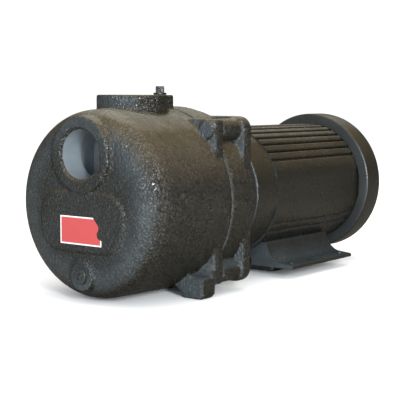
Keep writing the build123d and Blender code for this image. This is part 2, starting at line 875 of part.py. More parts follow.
# ---------------------------------------------------------------- lantern bracket
with BuildPart() as motor_bracket:
    with BuildSketch(shaft_plane):
        with BuildLine():
            Polyline(
                (bracket_x, 0),
                (bracket_x, bracket_radius),
                (plate_x, bracket_radius),
                (plate_x + bracket_radius - bracket_rear_radius, bracket_rear_radius),
                (bracket_rear_x, bracket_rear_radius),
                (bracket_rear_x, 0),
                close=True,
            )
        make_face()
    revolve(axis=shaft_axis)
    with BuildSketch(across(wet_face_x)):
        Circle(mouth_radius - fit)
    extrude(amount=bracket_x - wet_face_x)
    # square plate, corner columns and the neck that the motor bolts to
    with BuildSketch(across(plate_x)):
        RectangleRounded(2 * plate_half_width, 2 * plate_half_height, plate_corner)
    extrude(amount=plate_thickness)
    fillet(motor_bracket.edges().group_by(Axis.X)[-1].filter_by(GeomType.LINE), 1.5)
    with BuildSketch(across(bracket_x)):
        with Locations(*four_corners):
            Circle(column_radius)
    extrude(amount=plate_x - bracket_x)
    with BuildSketch(across(bracket_rear_x)):
        Circle(neck_radius)
    extrude(amount=neck_length)
    # hollow behind the seal wall, open towards the motor through the neck's floor
    with BuildSketch(shaft_plane):
        with BuildLine():
            Polyline(
                (bracket_x + seal_wall, seal_boss_radius),
                (bracket_x + seal_wall, bracket_radius - bracket_wall),
                (plate_x, bracket_radius - bracket_wall),
                (plate_x, neck_radius - neck_wall),
                (shield_x - neck_floor, neck_radius - neck_wall),
                (shield_x - neck_floor, 0),
                (seat_back_x + seal_boss_cover, 0),
                (seat_back_x + seal_boss_cover, seal_boss_radius),
                close=True,
            )
        make_face()
    revolve(axis=shaft_axis, mode=Mode.SUBTRACT)
    # seal pocket, seat for the cup, and the shaft's way through
    with BuildSketch(across(wet_face_x)):
        Circle(seal_pocket_radius)
    extrude(amount=seat_face_x + seal_cup_start - wet_face_x, mode=Mode.SUBTRACT)
    with BuildSketch(across(wet_face_x)):
        Circle(seat_cup_radius + fit)
    extrude(amount=seat_back_x + seal_cup_lip - wet_face_x, mode=Mode.SUBTRACT)
    with BuildSketch(across(wet_face_x)):
        Circle(slinger_seat_radius + shaft_gap)
    extrude(amount=seat_back_x + seal_boss_cover + 1 - wet_face_x, mode=Mode.SUBTRACT)
    with BuildSketch(across(shield_x - neck_floor)):
        Circle(neck_opening_radius)
        with PolarLocations(bracket_screw_circle, 4, start_angle=45):
            Circle(bracket_screw_radius + fit)
    extrude(amount=neck_floor, mode=Mode.SUBTRACT)
    with BuildSketch(across(bracket_x)):
        with Locations(*four_corners):
            Circle(bolt_radius + fit)
    extrude(amount=bracket_depth, mode=Mode.SUBTRACT)
    # weep slots under the neck and the drum
    with BuildSketch(level(-neck_radius - 2)):
        with Locations((bracket_rear_x + neck_length / 2 - neck_floor / 2, 0)):
            SlotOverall(neck_length - neck_floor - neck_wall, weep_width)
    extrude(amount=neck_wall + 4, mode=Mode.SUBTRACT)
    with BuildSketch(level(-bracket_radius - 2)):
        with Locations(((bracket_x + seal_wall + plate_x) / 2, 0)):
            SlotOverall(2 * weep_width, weep_width, rotation=90)
    extrude(amount=bracket_wall + 6, mode=Mode.SUBTRACT)
finish(motor_bracket, "motor_bracket")

# ---------------------------------------------------------------- casing bolts, put in from behind the plate
bolt_seat_x = bracket_rear_x + bolt_washer
with BuildPart() as casing_bolts:
    with BuildSketch(across(joint_x - bolt_thread_depth + bolt_end_gap)):
        with Locations(*four_corners):
            Circle(bolt_radius)
    extrude(amount=bolt_seat_x - joint_x + bolt_thread_depth - bolt_end_gap)
    with BuildSketch(across(bolt_seat_x)):
        with Locations(*four_corners):
            RegularPolygon(bolt_flat / 2, 6, major_radius=False)
    extrude(amount=bolt_head_height)
finish(casing_bolts, "casing_bolts")

with BuildPart() as bolt_washers:
    with BuildSketch(across(bracket_rear_x)):
        with Locations(*four_corners):
            Circle(bolt_washer_radius)
            Circle(bolt_radius + fit, mode=Mode.SUBTRACT)
    extrude(amount=bolt_washer)
finish(bolt_washers, "bolt_washers")

# ---------------------------------------------------------------- front end shield and its screws
housing_x = shield_x + shield_wall + 3.0
with BuildPart() as front_end_shield:
    with BuildSketch(across(shield_x)):
        Circle(shield_radius)
    extrude(amount=shield_length)
    chamfer(front_end_shield.edges().group_by(Axis.X)[0], 1.5)
    with BuildSketch(across(frame_x)):
        Circle(frame_bore - fit)
    extrude(amount=register_length)
    # cup behind the front wall, leaving the bearing's housing
    with BuildSketch(across(housing_x)):
        Circle(frame_bore - register_wall)
        Circle(front_bearing[1] + housing_wall, mode=Mode.SUBTRACT)
    extrude(amount=shield_length + register_length, mode=Mode.SUBTRACT)
    with BuildSketch(across(housing_x + front_bearing[2])):
        Circle(front_bearing[1] + housing_wall + 0.5)
    extrude(amount=shield_length + register_length, mode=Mode.SUBTRACT)
    # solid seats for the bracket screws and the tie rods
    with BuildSketch(across(shield_x + shield_wall)):
        with PolarLocations(bracket_screw_circle, 4, start_angle=45):
            Circle(screw_seat_radius)
        with PolarLocations(rod_circle - rod_seat_inset, 4):
            Circle(rod_seat_radius)
    extrude(amount=screw_seat_depth)
    with BuildSketch(across(shield_x + shield_wall + bearing_setback)):
        Circle(front_bearing[1] + fit)
    extrude(amount=shield_length + register_length, mode=Mode.SUBTRACT)
    with BuildSketch(across(shield_x)):
        Circle(slinger_seat_radius + shaft_gap + 1.4)
        with PolarLocations(bracket_screw_circle, 4, start_angle=45):
            Circle(bracket_screw_radius + fit)
    extrude(amount=bracket_screw_hole, mode=Mode.SUBTRACT)
    with BuildSketch(across(shield_x + shield_wall)):
        with PolarLocations(rod_circle, 4):
            Circle(rod_radius + fit)
    extrude(amount=shield_length, mode=Mode.SUBTRACT)
finish(front_end_shield, "front_end_shield")

with BuildPart() as bracket_screws:
    with BuildSketch(across(shield_x - neck_floor)):
        with PolarLocations(bracket_screw_circle, 4, start_angle=45):
            Circle(bracket_screw_radius)
    extrude(amount=neck_floor + bracket_screw_grip)
    with BuildSketch(across(shield_x - neck_floor - bracket_screw_head)):
        with PolarLocations(bracket_screw_circle, 4, start_angle=45):
            Circle(bracket_screw_head_radius)
            RegularPolygon(bracket_screw_socket / 2, 6, major_radius=False, mode=Mode.SUBTRACT)
    extrude(amount=bracket_screw_head)
finish(bracket_screws, "bracket_screws")


# ---------------------------------------------------------------- bearings
def write_bearing(name, start, sizes):
    """Deep-groove ball bearing as inner race, outer race, balls and cage."""
    bore, outside, width, ball, count = sizes
    middle = start + width / 2
    pitch = (bore + outside) / 2
    groove = ball + ball_gap
    with BuildPart() as inner:
        with BuildSketch(across(start)):
            Circle(bore + race_thickness)
            Circle(bore, mode=Mode.SUBTRACT)
        extrude(amount=width)
        with BuildSketch(shaft_plane):
            with Locations((middle, pitch)):
                Circle(groove)
        revolve(axis=shaft_axis, mode=Mode.SUBTRACT)
    finish(inner, f"{name}_inner_race")
    with BuildPart() as outer:
        with BuildSketch(across(start)):
            Circle(outside)
            Circle(outside - race_thickness, mode=Mode.SUBTRACT)
        extrude(amount=width)
        with BuildSketch(shaft_plane):
            with Locations((middle, pitch)):
                Circle(groove)
        revolve(axis=shaft_axis, mode=Mode.SUBTRACT)
    finish(outer, f"{name}_outer_race")
    places = [
        (middle, pitch * cos(2 * pi * k / count), shaft_height + pitch * sin(2 * pi * k / count))
        for k in range(count)
    ]
    with BuildPart() as balls:
        with Locations(*places):
            Sphere(ball)
    finish(balls, f"{name}_balls")
    with BuildPart() as cage:
        with BuildSketch(across(middle - ball - cage_rim)):
            Circle(pitch + cage_thickness / 2)
            Circle(pitch - cage_thickness / 2, mode=Mode.SUBTRACT)
        extrude(amount=2 * (ball + cage_rim))
        with Locations(*places):
            Sphere(ball + ball_gap, mode=Mode.SUBTRACT)
    finish(cage, f"{name}_cage")


write_bearing("front_bearing", front_bearing_x, front_bearing)
write_bearing("rear_bearing", rear_bearing_x, rear_bearing)

# ---------------------------------------------------------------- motor frame with its foot
flat_side = frame_radius - flat_depth
foot_drop = motor_centre_height
toe = (foot_half_width - foot_toe, -foot_drop + foot_tip + 1.5)
heel = (foot_half_width - foot_sweep + 6.5, -foot_drop + foot_rise / 2)
root = (foot_half_width - foot_sweep, -foot_drop + foot_tip + foot_rise)
with BuildPart() as motor_frame:
    with BuildSketch(across(frame_x)):
        Circle(frame_radius)
        Rectangle(2 * flat_side, 3 * frame_radius, mode=Mode.INTERSECT)
        groove_count = int(360 / groove_pitch)
        for k in range(groove_count):
            angle = 90 + k * groove_pitch
            height = frame_radius * sin(radians(angle))
            beside_flat = flat_bottom - 1 < height < flat_top + 1
            over_foot = height < foot_top
            if beside_flat or over_foot:
                continue
            with PolarLocations(frame_radius, 1, start_angle=angle):
                Rectangle(2 * groove_depth, groove_width, mode=Mode.SUBTRACT)
        Circle(frame_bore, mode=Mode.SUBTRACT)
    extrude(amount=frame_length)
    # foot: a wide flat-bottomed skirt that sweeps up into the barrel
    with BuildSketch(across(-foot_length / 2)):
        with BuildLine():
            Polyline(
                (0, -foot_drop),
                (foot_half_width, -foot_drop),
                (foot_half_width, -foot_drop + foot_tip),
                toe,
            )
            ThreePointArc(toe, heel, root)
            Polyline(root, (0, -frame_bore - 1), (0, -foot_drop))
        make_face()
        mirror(about=Plane.YZ)
        Circle(frame_bore, mode=Mode.SUBTRACT)
    extrude(amount=foot_length)
    # hollows under both ends that save metal, and the four holding-down holes
    hollow_length = (foot_length - pad_length) / 2 - foot_web
    for start in (-foot_length / 2, foot_length / 2 - hollow_length):
        with BuildSketch(across(start)):
            with Locations((0, -foot_drop)):
                Rectangle(2 * (pad_half_width - 2 * foot_web), 2 * foot_hollow_height)
        extrude(amount=hollow_length, mode=Mode.SUBTRACT)
    with BuildSketch(Plane.XY.offset(foot_z)):
        with GridLocations(foot_hole_x, foot_hole_y, 2, 2):
            Circle(foot_hole_radius)
    extrude(amount=foot_tip + foot_rise, mode=Mode.SUBTRACT)
finish(motor_frame, "motor_frame")

with BuildPart() as support_pad:
    # block under the motor foot that brings it level with the casing's lugs
    with BuildSketch(Plane.XY):
        RectangleRounded(pad_length, 2 * pad_half_width, support_pad_corner)
    extrude(amount=foot_z)
    chamfer(support_pad.edges().group_by(Axis.Z)[0], 1.0)
finish(support_pad, "support_pad")

# ---------------------------------------------------------------- stator, winding and rotor
slot_angle = 360 / stator_slots
with BuildPart() as stator_core:
    with BuildSketch(across(stator_x)):
        Circle(frame_bore - fit)
        Circle(stator_bore, mode=Mode.SUBTRACT)
        with PolarLocations((slot_inner + slot_outer) / 2, stator_slots, start_angle=slot_angle / 2):
            Rectangle(slot_outer - slot_inner, slot_width, mode=Mode.SUBTRACT)
        with PolarLocations((stator_bore + slot_inner) / 2, stator_slots, start_angle=slot_angle / 2):
            Rectangle(slot_inner - stator_bore + 1, 1.8, mode=Mode.SUBTRACT)
        with PolarLocations(rod_circle, 4):
            Circle(rod_radius + 0.4, mode=Mode.SUBTRACT)
        with PolarLocations(frame_bore, 4):
            Rectangle(2 * (frame_bore - rod_circle), 2 * rod_radius + 0.8, mode=Mode.SUBTRACT)
    extrude(amount=stator_length)
finish(stator_core, "stator_core")

with BuildPart() as stator_winding:
    # copper in the slots, joined at both ends by a rounded bundle of end turns
    with BuildSketch(across(stator_x - 2)):
        with PolarLocations((slot_inner + slot_outer) / 2, stator_slots, start_angle=slot_angle / 2):
            Rectangle(slot_outer - slot_inner - 0.6, slot_width - 0.6)
    extrude(amount=stator_length + 4)
    for start in (stator_x - winding_overhang, stator_end_x + 1.5):
        with BuildSketch(shaft_plane) as bundle:
            with Locations((start + (winding_overhang - 1.5) / 2, (slot_inner + slot_outer) / 2 + 0.5)):
                RectangleRounded(winding_overhang - 1.5, slot_outer - slot_inner + 1, 4.0)
        revolve(axis=shaft_axis)
finish(stator_winding, "stator_winding")

rotor_radius = stator_bore - air_gap
write_ring("rotor_core", stator_x, stator_end_x, rotor_radius, rotor_seat_radius + fit)
with BuildPart() as rotor_end_rings:
    # cast aluminium rings that join the rotor's bars, with small stirring blades
    front_ring = (stator_x - rotor_ring_length, stator_x - rotor_ring_length - stir_blade_proud)
    rear_ring = (stator_end_x, stator_end_x + rotor_ring_length + stir_blade_proud - stir_blade_length)
    for start, blade_start in (front_ring, rear_ring):
        with BuildSketch(across(start)):
            Circle(rotor_radius - rotor_ring_inset)
            Circle(rotor_ring_inner, mode=Mode.SUBTRACT)
        extrude(amount=rotor_ring_length)
        with BuildSketch(across(blade_start)):
            with PolarLocations(stir_blade_circle, stir_blades):
                Rectangle(*stir_blade_section)
        extrude(amount=stir_blade_length)
finish(rotor_end_rings, "rotor_end_rings")

# ---------------------------------------------------------------- rear end shield, washer and tie rods
post_end_x = cover_end_x - cover_wall
with BuildPart() as rear_end_shield:
    with BuildSketch(across(frame_end_x)):
        Circle(shield_radius)
    extrude(amount=rear_shield_thickness)
    with BuildSketch(across(frame_end_x - register_length)):
        Circle(frame_bore - fit)
        Circle(frame_bore - register_wall - 1, mode=Mode.SUBTRACT)
    extrude(amount=register_length)
    with BuildSketch(across(rear_bearing_x)):
        Circle(rear_bearing[1] + housing_wall - 0.5)
    extrude(amount=frame_end_x - rear_bearing_x)
    with BuildSketch(across(rear_face_x)):
        with PolarLocations(cover_screw_circle, cover_screws, start_angle=45):
            Circle(cover_post_radius)
    extrude(amount=post_end_x - rear_face_x)
    with BuildSketch(across(rear_bearing_x)):
        Circle(rear_bearing[1] + fit)
    extrude(amount=rear_bearing[2] + wave_washer_space, mode=Mode.SUBTRACT)
    with BuildSketch(across(rear_bearing_x)):
        Circle(fan_seat_radius + 1.0)
    extrude(amount=rear_bearing[2] + 2 * rear_shield_thickness, mode=Mode.SUBTRACT)
    with BuildSketch(across(frame_end_x - register_length)):
        with PolarLocations(rod_circle, 4):
            Circle(rod_radius + fit)
    extrude(amount=register_length + rear_shield_thickness, mode=Mode.SUBTRACT)
    with BuildSketch(across(post_end_x)):
        with PolarLocations(cover_screw_circle, cover_screws, start_angle=45):
            Circle(cover_screw_radius + fit)
    extrude(amount=-(cover_screw_grip + 2), mode=Mode.SUBTRACT)
finish(rear_end_shield, "rear_end_shield")

write_ring(
    "wave_washer",
    rear_bearing_x + rear_bearing[2] + fit,
    rear_bearing_x + rear_bearing[2] + wave_washer_space - fit,
    rear_bearing[1] - seat_gap,
    rear_bearing[1] - seat_gap - wave_washer_width,
)

with BuildPart() as tie_rods:
    # long screws that clamp the frame between its end shields
    with BuildSketch(across(frame_x - shield_length + shield_wall + rod_grip)):
        with PolarLocations(rod_circle, 4):
            Circle(rod_radius)
    extrude(amount=rear_face_x - frame_x + shield_length - shield_wall - rod_grip)
    with BuildSketch(across(rear_face_x)):
        with PolarLocations(rod_circle, 4):
            RegularPolygon(rod_head_flat / 2, 6, major_radius=False)
    extrude(amount=rod_head_height)
finish(tie_rods, "tie_rods")

# ---------------------------------------------------------------- fan, clip and cover
with BuildPart() as cooling_fan:
    with BuildSketch(across(fan_x)):
        Circle(fan_radius - 2)
    extrude(amount=fan_plate)
    with BuildSketch(across(fan_x)):
        Circle(fan_hub_radius)
    extrude(amount=fan_length)
    with BuildSketch(across(fan_x)):
        with PolarLocations((fan_hub_radius + fan_radius) / 2 - 0.5, fan_blades):
            Rectangle(fan_radius - fan_hub_radius + 1, fan_plate)
    extrude(amount=fan_length - 1)
    with BuildSketch(across(fan_x)):
        Circle(fan_seat_radius + fit)
    extrude(amount=fan_length, mode=Mode.SUBTRACT)
finish(cooling_fan, "cooling_fan")

with BuildPart() as fan_clip:
    # open spring ring in the shaft's groove
    with BuildSketch(across(clip_x + (clip_groove_width - clip_thickness) / 2)):
        Circle(fan_seat_radius + clip_rise)
        Circle(fan_seat_radius - clip_groove_depth + fit, mode=Mode.SUBTRACT)
        with Locations((0, fan_seat_radius)):
            Rectangle(clip_mouth, fan_seat_radius + clip_rise, mode=Mode.SUBTRACT)
    extrude(amount=clip_thickness)
finish(fan_clip, "fan_clip")

with BuildPart() as fan_cover:
    with BuildSketch(across(cover_x)):
        Circle(cover_radius)
    extrude(amount=cover_length)
    fillet(fan_cover.edges().group_by(Axis.X)[-1], cover_edge_radius)
    fillet(fan_cover.edges().group_by(Axis.X)[0], 1.2)
    with BuildSketch(across(cover_x + cover_lip)):
        Circle(cover_radius - cover_wall)
    extrude(amount=cover_length - cover_lip - cover_edge_radius, mode=Mode.SUBTRACT)
    with BuildSketch(across(cover_end_x - cover_edge_radius)):
        Circle(cover_radius - cover_edge_radius)
    extrude(amount=cover_edge_radius - cover_wall, mode=Mode.SUBTRACT)
    with BuildSketch(across(cover_x)):
        Circle(frame_radius + seat_gap)
    extrude(amount=cover_lip, mode=Mode.SUBTRACT)
    # air inlet: two rings of radial slots
    with BuildSketch(across(cover_end_x - cover_wall)):
        for low, high in grille_rings:
            with PolarLocations((low + high) / 2, grille_slots):
                SlotOverall(high - low, grille_slot_width)
    extrude(amount=cover_wall, mode=Mode.SUBTRACT)
    with BuildSketch(across(cover_end_x - cover_wall)):
        with PolarLocations(cover_screw_circle, cover_screws, start_angle=45):
            Circle(cover_screw_radius + fit)
    extrude(amount=cover_wall, mode=Mode.SUBTRACT)
finish(fan_cover, "fan_cover")

with BuildPart() as fan_cover_screws:
    with BuildSketch(across(cover_end_x - cover_wall - cover_screw_grip)):
        with PolarLocations(cover_screw_circle, cover_screws, start_angle=45):
            Circle(cover_screw_radius)
    extrude(amount=cover_wall + cover_screw_grip)
    with BuildSketch(across(cover_end_x)):
        with PolarLocations(cover_screw_circle, cover_screws, start_angle=45):
            Circle(cover_screw_head_radius)
    extrude(amount=cover_screw_head)
    chamfer(fan_cover_screws.edges().group_by(Axis.X)[-1], 0.8)
    with BuildSketch(across(cover_end_x + cover_screw_head - recess_depth)):
        with PolarLocations(cover_screw_circle, cover_screws, start_angle=45):
            Rectangle(recess_length, recess_width)
            Rectangle(recess_width, recess_length)
    extrude(amount=recess_depth, mode=Mode.SUBTRACT)
finish(fan_cover_screws, "fan_cover_screws")

# ---------------------------------------------------------------- terminal box
box_y = flat_side
rim_y = box_y + box_depth
lid_y = rim_y + box_gasket
lid_end_y = lid_y + lid_depth


def facing_out(y):
    """Upright plane at station y, seen from outside the far side: sketch X is -X, sketch Y is +Z."""
    return Plane(origin=(box_shift, y, shaft_height), x_dir=(-1, 0, 0), z_dir=(0, 1, 0))


screw_x = box_length / 2 - box_screw_inset
screw_z = box_height / 2 - box_screw_inset
with BuildPart() as terminal_box:
    with BuildSketch(facing_out(box_y)):
        RectangleRounded(box_length, box_height, box_corner)
    extrude(amount=box_depth)
    with BuildSketch(facing_out(box_y + box_wall)):
        RectangleRounded(box_length - 2 * box_wall, box_height - 2 * box_wall, box_corner - box_wall)
    extrude(amount=box_depth, mode=Mode.SUBTRACT)
    with BuildSketch(facing_out(box_y + box_wall)):
        with GridLocations(2 * screw_x, 2 * screw_z, 2, 2):
            Circle(box_post_radius)
        RectangleRounded(box_length - 2, box_height - 2, box_corner - 1, mode=Mode.INTERSECT)
    extrude(amount=box_depth - box_wall)
    with BuildSketch(facing_out(rim_y)):
        with GridLocations(2 * screw_x, 2 * screw_z, 2, 2):
            Circle(box_screw_radius + fit)
    extrude(amount=-box_screw_hole, mode=Mode.SUBTRACT)
    with BuildSketch(level(-box_height / 2)):
        with Locations((box_shift + gland_shift, box_y + gland_reach)):
            Circle(gland_radius + fit)
    extrude(amount=box_wall, mode=Mode.SUBTRACT)
finish(terminal_box, "terminal_box")

with BuildPart() as terminal_gasket:
    with BuildSketch(facing_out(rim_y)):
        RectangleRounded(box_length - 1, box_height - 1, box_corner - 0.5)
        RectangleRounded(box_length - 4 * box_wall, box_height - 4 * box_wall, 2.0, mode=Mode.SUBTRACT)
        with GridLocations(2 * screw_x, 2 * screw_z, 2, 2):
            Circle(box_post_radius - 0.4)
            Circle(box_screw_radius + fit, mode=Mode.SUBTRACT)
    extrude(amount=box_gasket)
finish(terminal_gasket, "terminal_gasket")

with BuildPart() as terminal_cover:
    with BuildSketch(facing_out(lid_y)):
        RectangleRounded(box_length, box_height, box_corner)
    extrude(amount=lid_depth)
    fillet(terminal_cover.edges().group_by(Axis.Y)[-1], lid_round)
    with BuildSketch(facing_out(lid_y)):
        RectangleRounded(box_length - 5 * box_wall, box_height - 5 * box_wall, 3.0)
    extrude(amount=lid_depth - box_wall, mode=Mode.SUBTRACT)
    with BuildSketch(facing_out(lid_y)):
        with GridLocations(2 * screw_x, 2 * screw_z, 2, 2):
            Circle(box_screw_radius + fit)
    extrude(amount=lid_depth, mode=Mode.SUBTRACT)
    with BuildSketch(facing_out(lid_end_y)):
        with GridLocations(2 * screw_x, 2 * screw_z, 2, 2):
            Circle(box_screw_recess_radius)
    extrude(amount=-box_screw_recess, mode=Mode.SUBTRACT)
finish(terminal_cover, "terminal_cover")

with BuildPart() as terminal_cover_screws:
    with BuildSketch(facing_out(rim_y - box_screw_grip)):
        with GridLocations(2 * screw_x, 2 * screw_z, 2, 2):
            Circle(box_screw_radius)
    extrude(amount=lid_end_y - box_screw_recess - rim_y + box_screw_grip)
    with BuildSketch(facing_out(lid_end_y - box_screw_recess)):
        with GridLocations(2 * screw_x, 2 * screw_z, 2, 2):
            Circle(box_screw_head_radius)
    extrude(amount=box_screw_head)
    with BuildSketch(facing_out(lid_end_y - box_screw_recess + box_screw_head - recess_depth)):
        with GridLocations(2 * screw_x, 2 * screw_z, 2, 2):
            Rectangle(recess_length, recess_width)
            Rectangle(recess_width, recess_length)
    extrude(amount=recess_depth, mode=Mode.SUBTRACT)
finish(terminal_cover_screws, "terminal_cover_screws")

capacitor_z = box_height / 2 - box_wall - capacitor_radius - seat_gap
with BuildPart() as run_capacitor:
    # metal can lying on the box floor
    with BuildSketch(across(box_shift - capacitor_length / 2)):
        with Locations((box_y + box_wall + capacitor_radius, capacitor_z)):
            Circle(capacitor_radius)
    extrude(amount=capacitor_length)
    fillet(run_capacitor.edges().filter_by(GeomType.CIRCLE), capacitor_round)
finish(run_capacitor, "run_capacitor")

length, height, depth = block_size
block_z = -box_height / 2 + box_wall + height / 2 + block_lift
with BuildPart() as terminal_block:
    with BuildSketch(facing_out(box_y + box_wall)):
        with Locations((block_shift, block_z)):
            Rectangle(length, height)
    extrude(amount=depth)
    with BuildSketch(facing_out(box_y + box_wall + depth)):
        with Locations((block_shift, block_z)):
            with GridLocations(block_pitch, 0, block_ways, 1):
                Circle(block_hole_radius)
    extrude(amount=-block_hole_depth, mode=Mode.SUBTRACT)
finish(terminal_block, "terminal_block")

gland_y = box_y + gland_reach
gland_z = shaft_height - box_height / 2
gland_end_z = gland_z - gland_body_length + gland_inside
with BuildPart() as cable_gland:
    # threaded body through the box floor with a hexagon outside
    with BuildSketch(Plane.XY.offset(gland_end_z)):
        with Locations((box_shift + gland_shift, gland_y)):
            Circle(gland_radius)
    extrude(amount=gland_body_length)
    with BuildSketch(Plane.XY.offset(gland_z - gland_hex)):
        with Locations((box_shift + gland_shift, gland_y)):
            RegularPolygon(gland_radius + gland_hex_rise, 6, major_radius=False)
    extrude(amount=gland_hex)
    with BuildSketch(Plane.XY.offset(gland_end_z)):
        with Locations((box_shift + gland_shift, gland_y)):
            Circle(gland_bore)
    extrude(amount=gland_body_length, mode=Mode.SUBTRACT)
finish(cable_gland, "cable_gland")

with BuildPart() as gland_nut:
    with BuildSketch(Plane.XY.offset(gland_end_z - gland_nut_cap)):
        with Locations((box_shift + gland_shift, gland_y)):
            RegularPolygon(gland_radius + gland_hex_rise, 6, major_radius=False)
    extrude(amount=gland_z - gland_hex - gland_end_z + gland_nut_cap)
    with BuildSketch(Plane.XY.offset(gland_end_z)):
        with Locations((box_shift + gland_shift, gland_y)):
            Circle(gland_radius + fit)
    extrude(amount=gland_z - gland_end_z, mode=Mode.SUBTRACT)
    with BuildSketch(Plane.XY.offset(gland_end_z - gland_nut_cap)):
        with Locations((box_shift + gland_shift, gland_y)):
            Circle(gland_bore)
    extrude(amount=gland_nut_cap, mode=Mode.SUBTRACT)
finish(gland_nut, "gland_nut")
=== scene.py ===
"""Shallow well jet pump in black enamel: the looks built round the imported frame.

Places are measured from the boxes of the CAD nodes. Metres, +X along the shaft towards the fan,
-Y towards the viewer, +Z up.
"""
import math
import bmesh
import bpy
import numpy as np
from mathutils import Matrix, Vector


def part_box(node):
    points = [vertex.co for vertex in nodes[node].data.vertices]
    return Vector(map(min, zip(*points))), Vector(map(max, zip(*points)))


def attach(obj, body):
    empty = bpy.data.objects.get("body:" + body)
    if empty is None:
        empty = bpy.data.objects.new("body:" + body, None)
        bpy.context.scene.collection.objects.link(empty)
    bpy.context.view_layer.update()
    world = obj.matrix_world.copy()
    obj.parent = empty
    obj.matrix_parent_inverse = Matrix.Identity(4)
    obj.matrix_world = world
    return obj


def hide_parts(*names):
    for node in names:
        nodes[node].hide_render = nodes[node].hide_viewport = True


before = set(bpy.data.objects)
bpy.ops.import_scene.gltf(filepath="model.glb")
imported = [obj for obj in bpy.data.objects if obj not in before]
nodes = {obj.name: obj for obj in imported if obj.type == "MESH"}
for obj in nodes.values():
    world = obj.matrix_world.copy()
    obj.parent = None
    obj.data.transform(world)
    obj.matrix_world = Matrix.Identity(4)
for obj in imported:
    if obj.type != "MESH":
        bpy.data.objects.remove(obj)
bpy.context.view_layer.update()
scene = bpy.context.scene

# ---------------------------------------------------------------- camera
# Looks at the suction end from the near side, a little above the shaft, with a long lens.
turn, dip, tilt = math.radians(37.23), math.radians(5.45), math.radians(0.17)
ahead = Vector((math.cos(dip) * math.cos(turn), math.cos(dip) * math.sin(turn), -math.sin(dip)))
level = ahead.cross(Vector((0, 0, 1))).normalized()
plumb = level.cross(ahead)
right = math.cos(tilt) * level + math.sin(tilt) * plumb
upward = math.cos(tilt) * plumb - math.sin(tilt) * level
camera_data = bpy.data.cameras.new("camera")
camera_data.lens = 96.3
camera_data.sensor_width = 36.0
camera_data.clip_end = 50.0
camera = bpy.data.objects.new("camera", camera_data)
scene.collection.objects.link(camera)
stand = (-0.8871, -0.5957, 0.1672)
camera.matrix_world = Matrix.Translation(stand) @ Matrix(
    (
        (right.x, upward.x, -ahead.x, 0),
        (right.y, upward.y, -ahead.y, 0),
        (right.z, upward.z, -ahead.z, 0),
        (0, 0, 0, 1),
    )
)
scene.camera = camera

# ---------------------------------------------------------------- floor and studio light
# White paper under the pump in a white room. Both look darker in gloss than they are, as they
# would with black flags round the pump. Soft boxes light it from the near side, from in front
# and from above.


def add(tree, kind, **values):
    """A shader node with its properties and sockets set by name, spaces written as underscores."""
    node = tree.nodes.new(kind)
    for key, value in values.items():
        if key in node.bl_rna.properties.keys():
            setattr(node, key, value)
        else:
            node.inputs[key.replace("_", " ")].default_value = value
    return node


def finish(name):
    """A new material, with its node tree and its shader."""
    material = bpy.data.materials.new(name)
    material.use_nodes = True
    tree = material.node_tree
    return material, tree, tree.nodes["Principled BSDF"]


floor_mesh = bpy.data.meshes.new("floor")
floor_mesh.from_pydata([(-8, -8, 0), (8, -8, 0), (8, 8, 0), (-8, 8, 0)], [], [(0, 1, 2, 3)])
floor = bpy.data.objects.new("floor", floor_mesh)
scene.collection.objects.link(floor)
paper, tree, sheet = finish("paper")
sheet.inputs["Roughness"].default_value = 0.9
sheet.inputs["Specular IOR Level"].default_value = 0.0
ray = add(tree, "ShaderNodeLightPath")
shade = add(tree, "ShaderNodeMix", data_type="RGBA")
shade.inputs[6].default_value = (0.93, 0.93, 0.93, 1)
shade.inputs[7].default_value = (0.20, 0.19, 0.17, 1)
tree.links.new(ray.outputs["Is Glossy Ray"], shade.inputs[0])
tree.links.new(shade.outputs[2], sheet.inputs["Base Color"])
floor_mesh.materials.append(paper)

world = bpy.data.worlds.new("studio")
world.use_nodes = True
room = world.node_tree
room.nodes["Background"].inputs["Color"].default_value = (1, 1, 1, 1)
room.nodes["Background"].inputs["Strength"].default_value = 1.1
flags = add(room, "ShaderNodeBackground", Color=(1.0, 0.95, 0.84, 1), Strength=0.10)
ray = add(room, "ShaderNodeLightPath")
choice = add(room, "ShaderNodeMixShader")
room.links.new(ray.outputs["Is Glossy Ray"], choice.inputs[0])
room.links.new(room.nodes["Background"].outputs[0], choice.inputs[1])
room.links.new(flags.outputs[0], choice.inputs[2])
room.links.new(choice.outputs[0], room.nodes["World Output"].inputs["Surface"])
scene.world = world
scene.view_settings.view_transform = "Standard"


def soft_box(name, place, aim, size, power, colour):
    """A soft box that faces a point."""
    lamp = bpy.data.lights.new(name, "AREA")
    lamp.shape = "RECTANGLE"
    lamp.size, lamp.size_y = size
    lamp.energy = power
    lamp.color = colour
    holder = bpy.data.objects.new(name, lamp)
    scene.collection.objects.link(holder)
    holder.rotation_euler = (Vector(aim) - Vector(place)).to_track_quat("-Z", "Y").to_euler()
    holder.location = place


casing_middle = (-0.1, 0, 0.08)
soft_box("near_box", (-1.35, -1.75, 0.55), casing_middle, (0.24, 0.90), 72, (0.93, 0.97, 1.0))
soft_box("front_box", (-2.3, -0.7, 0.5), casing_middle, (1.0, 0.8), 13, (0.82, 0.91, 1.0))
soft_box("top_box", (0.2, -0.1, 1.9), (0, 0, 0), (1.8, 1.5), 15, (1.0, 0.93, 0.82))

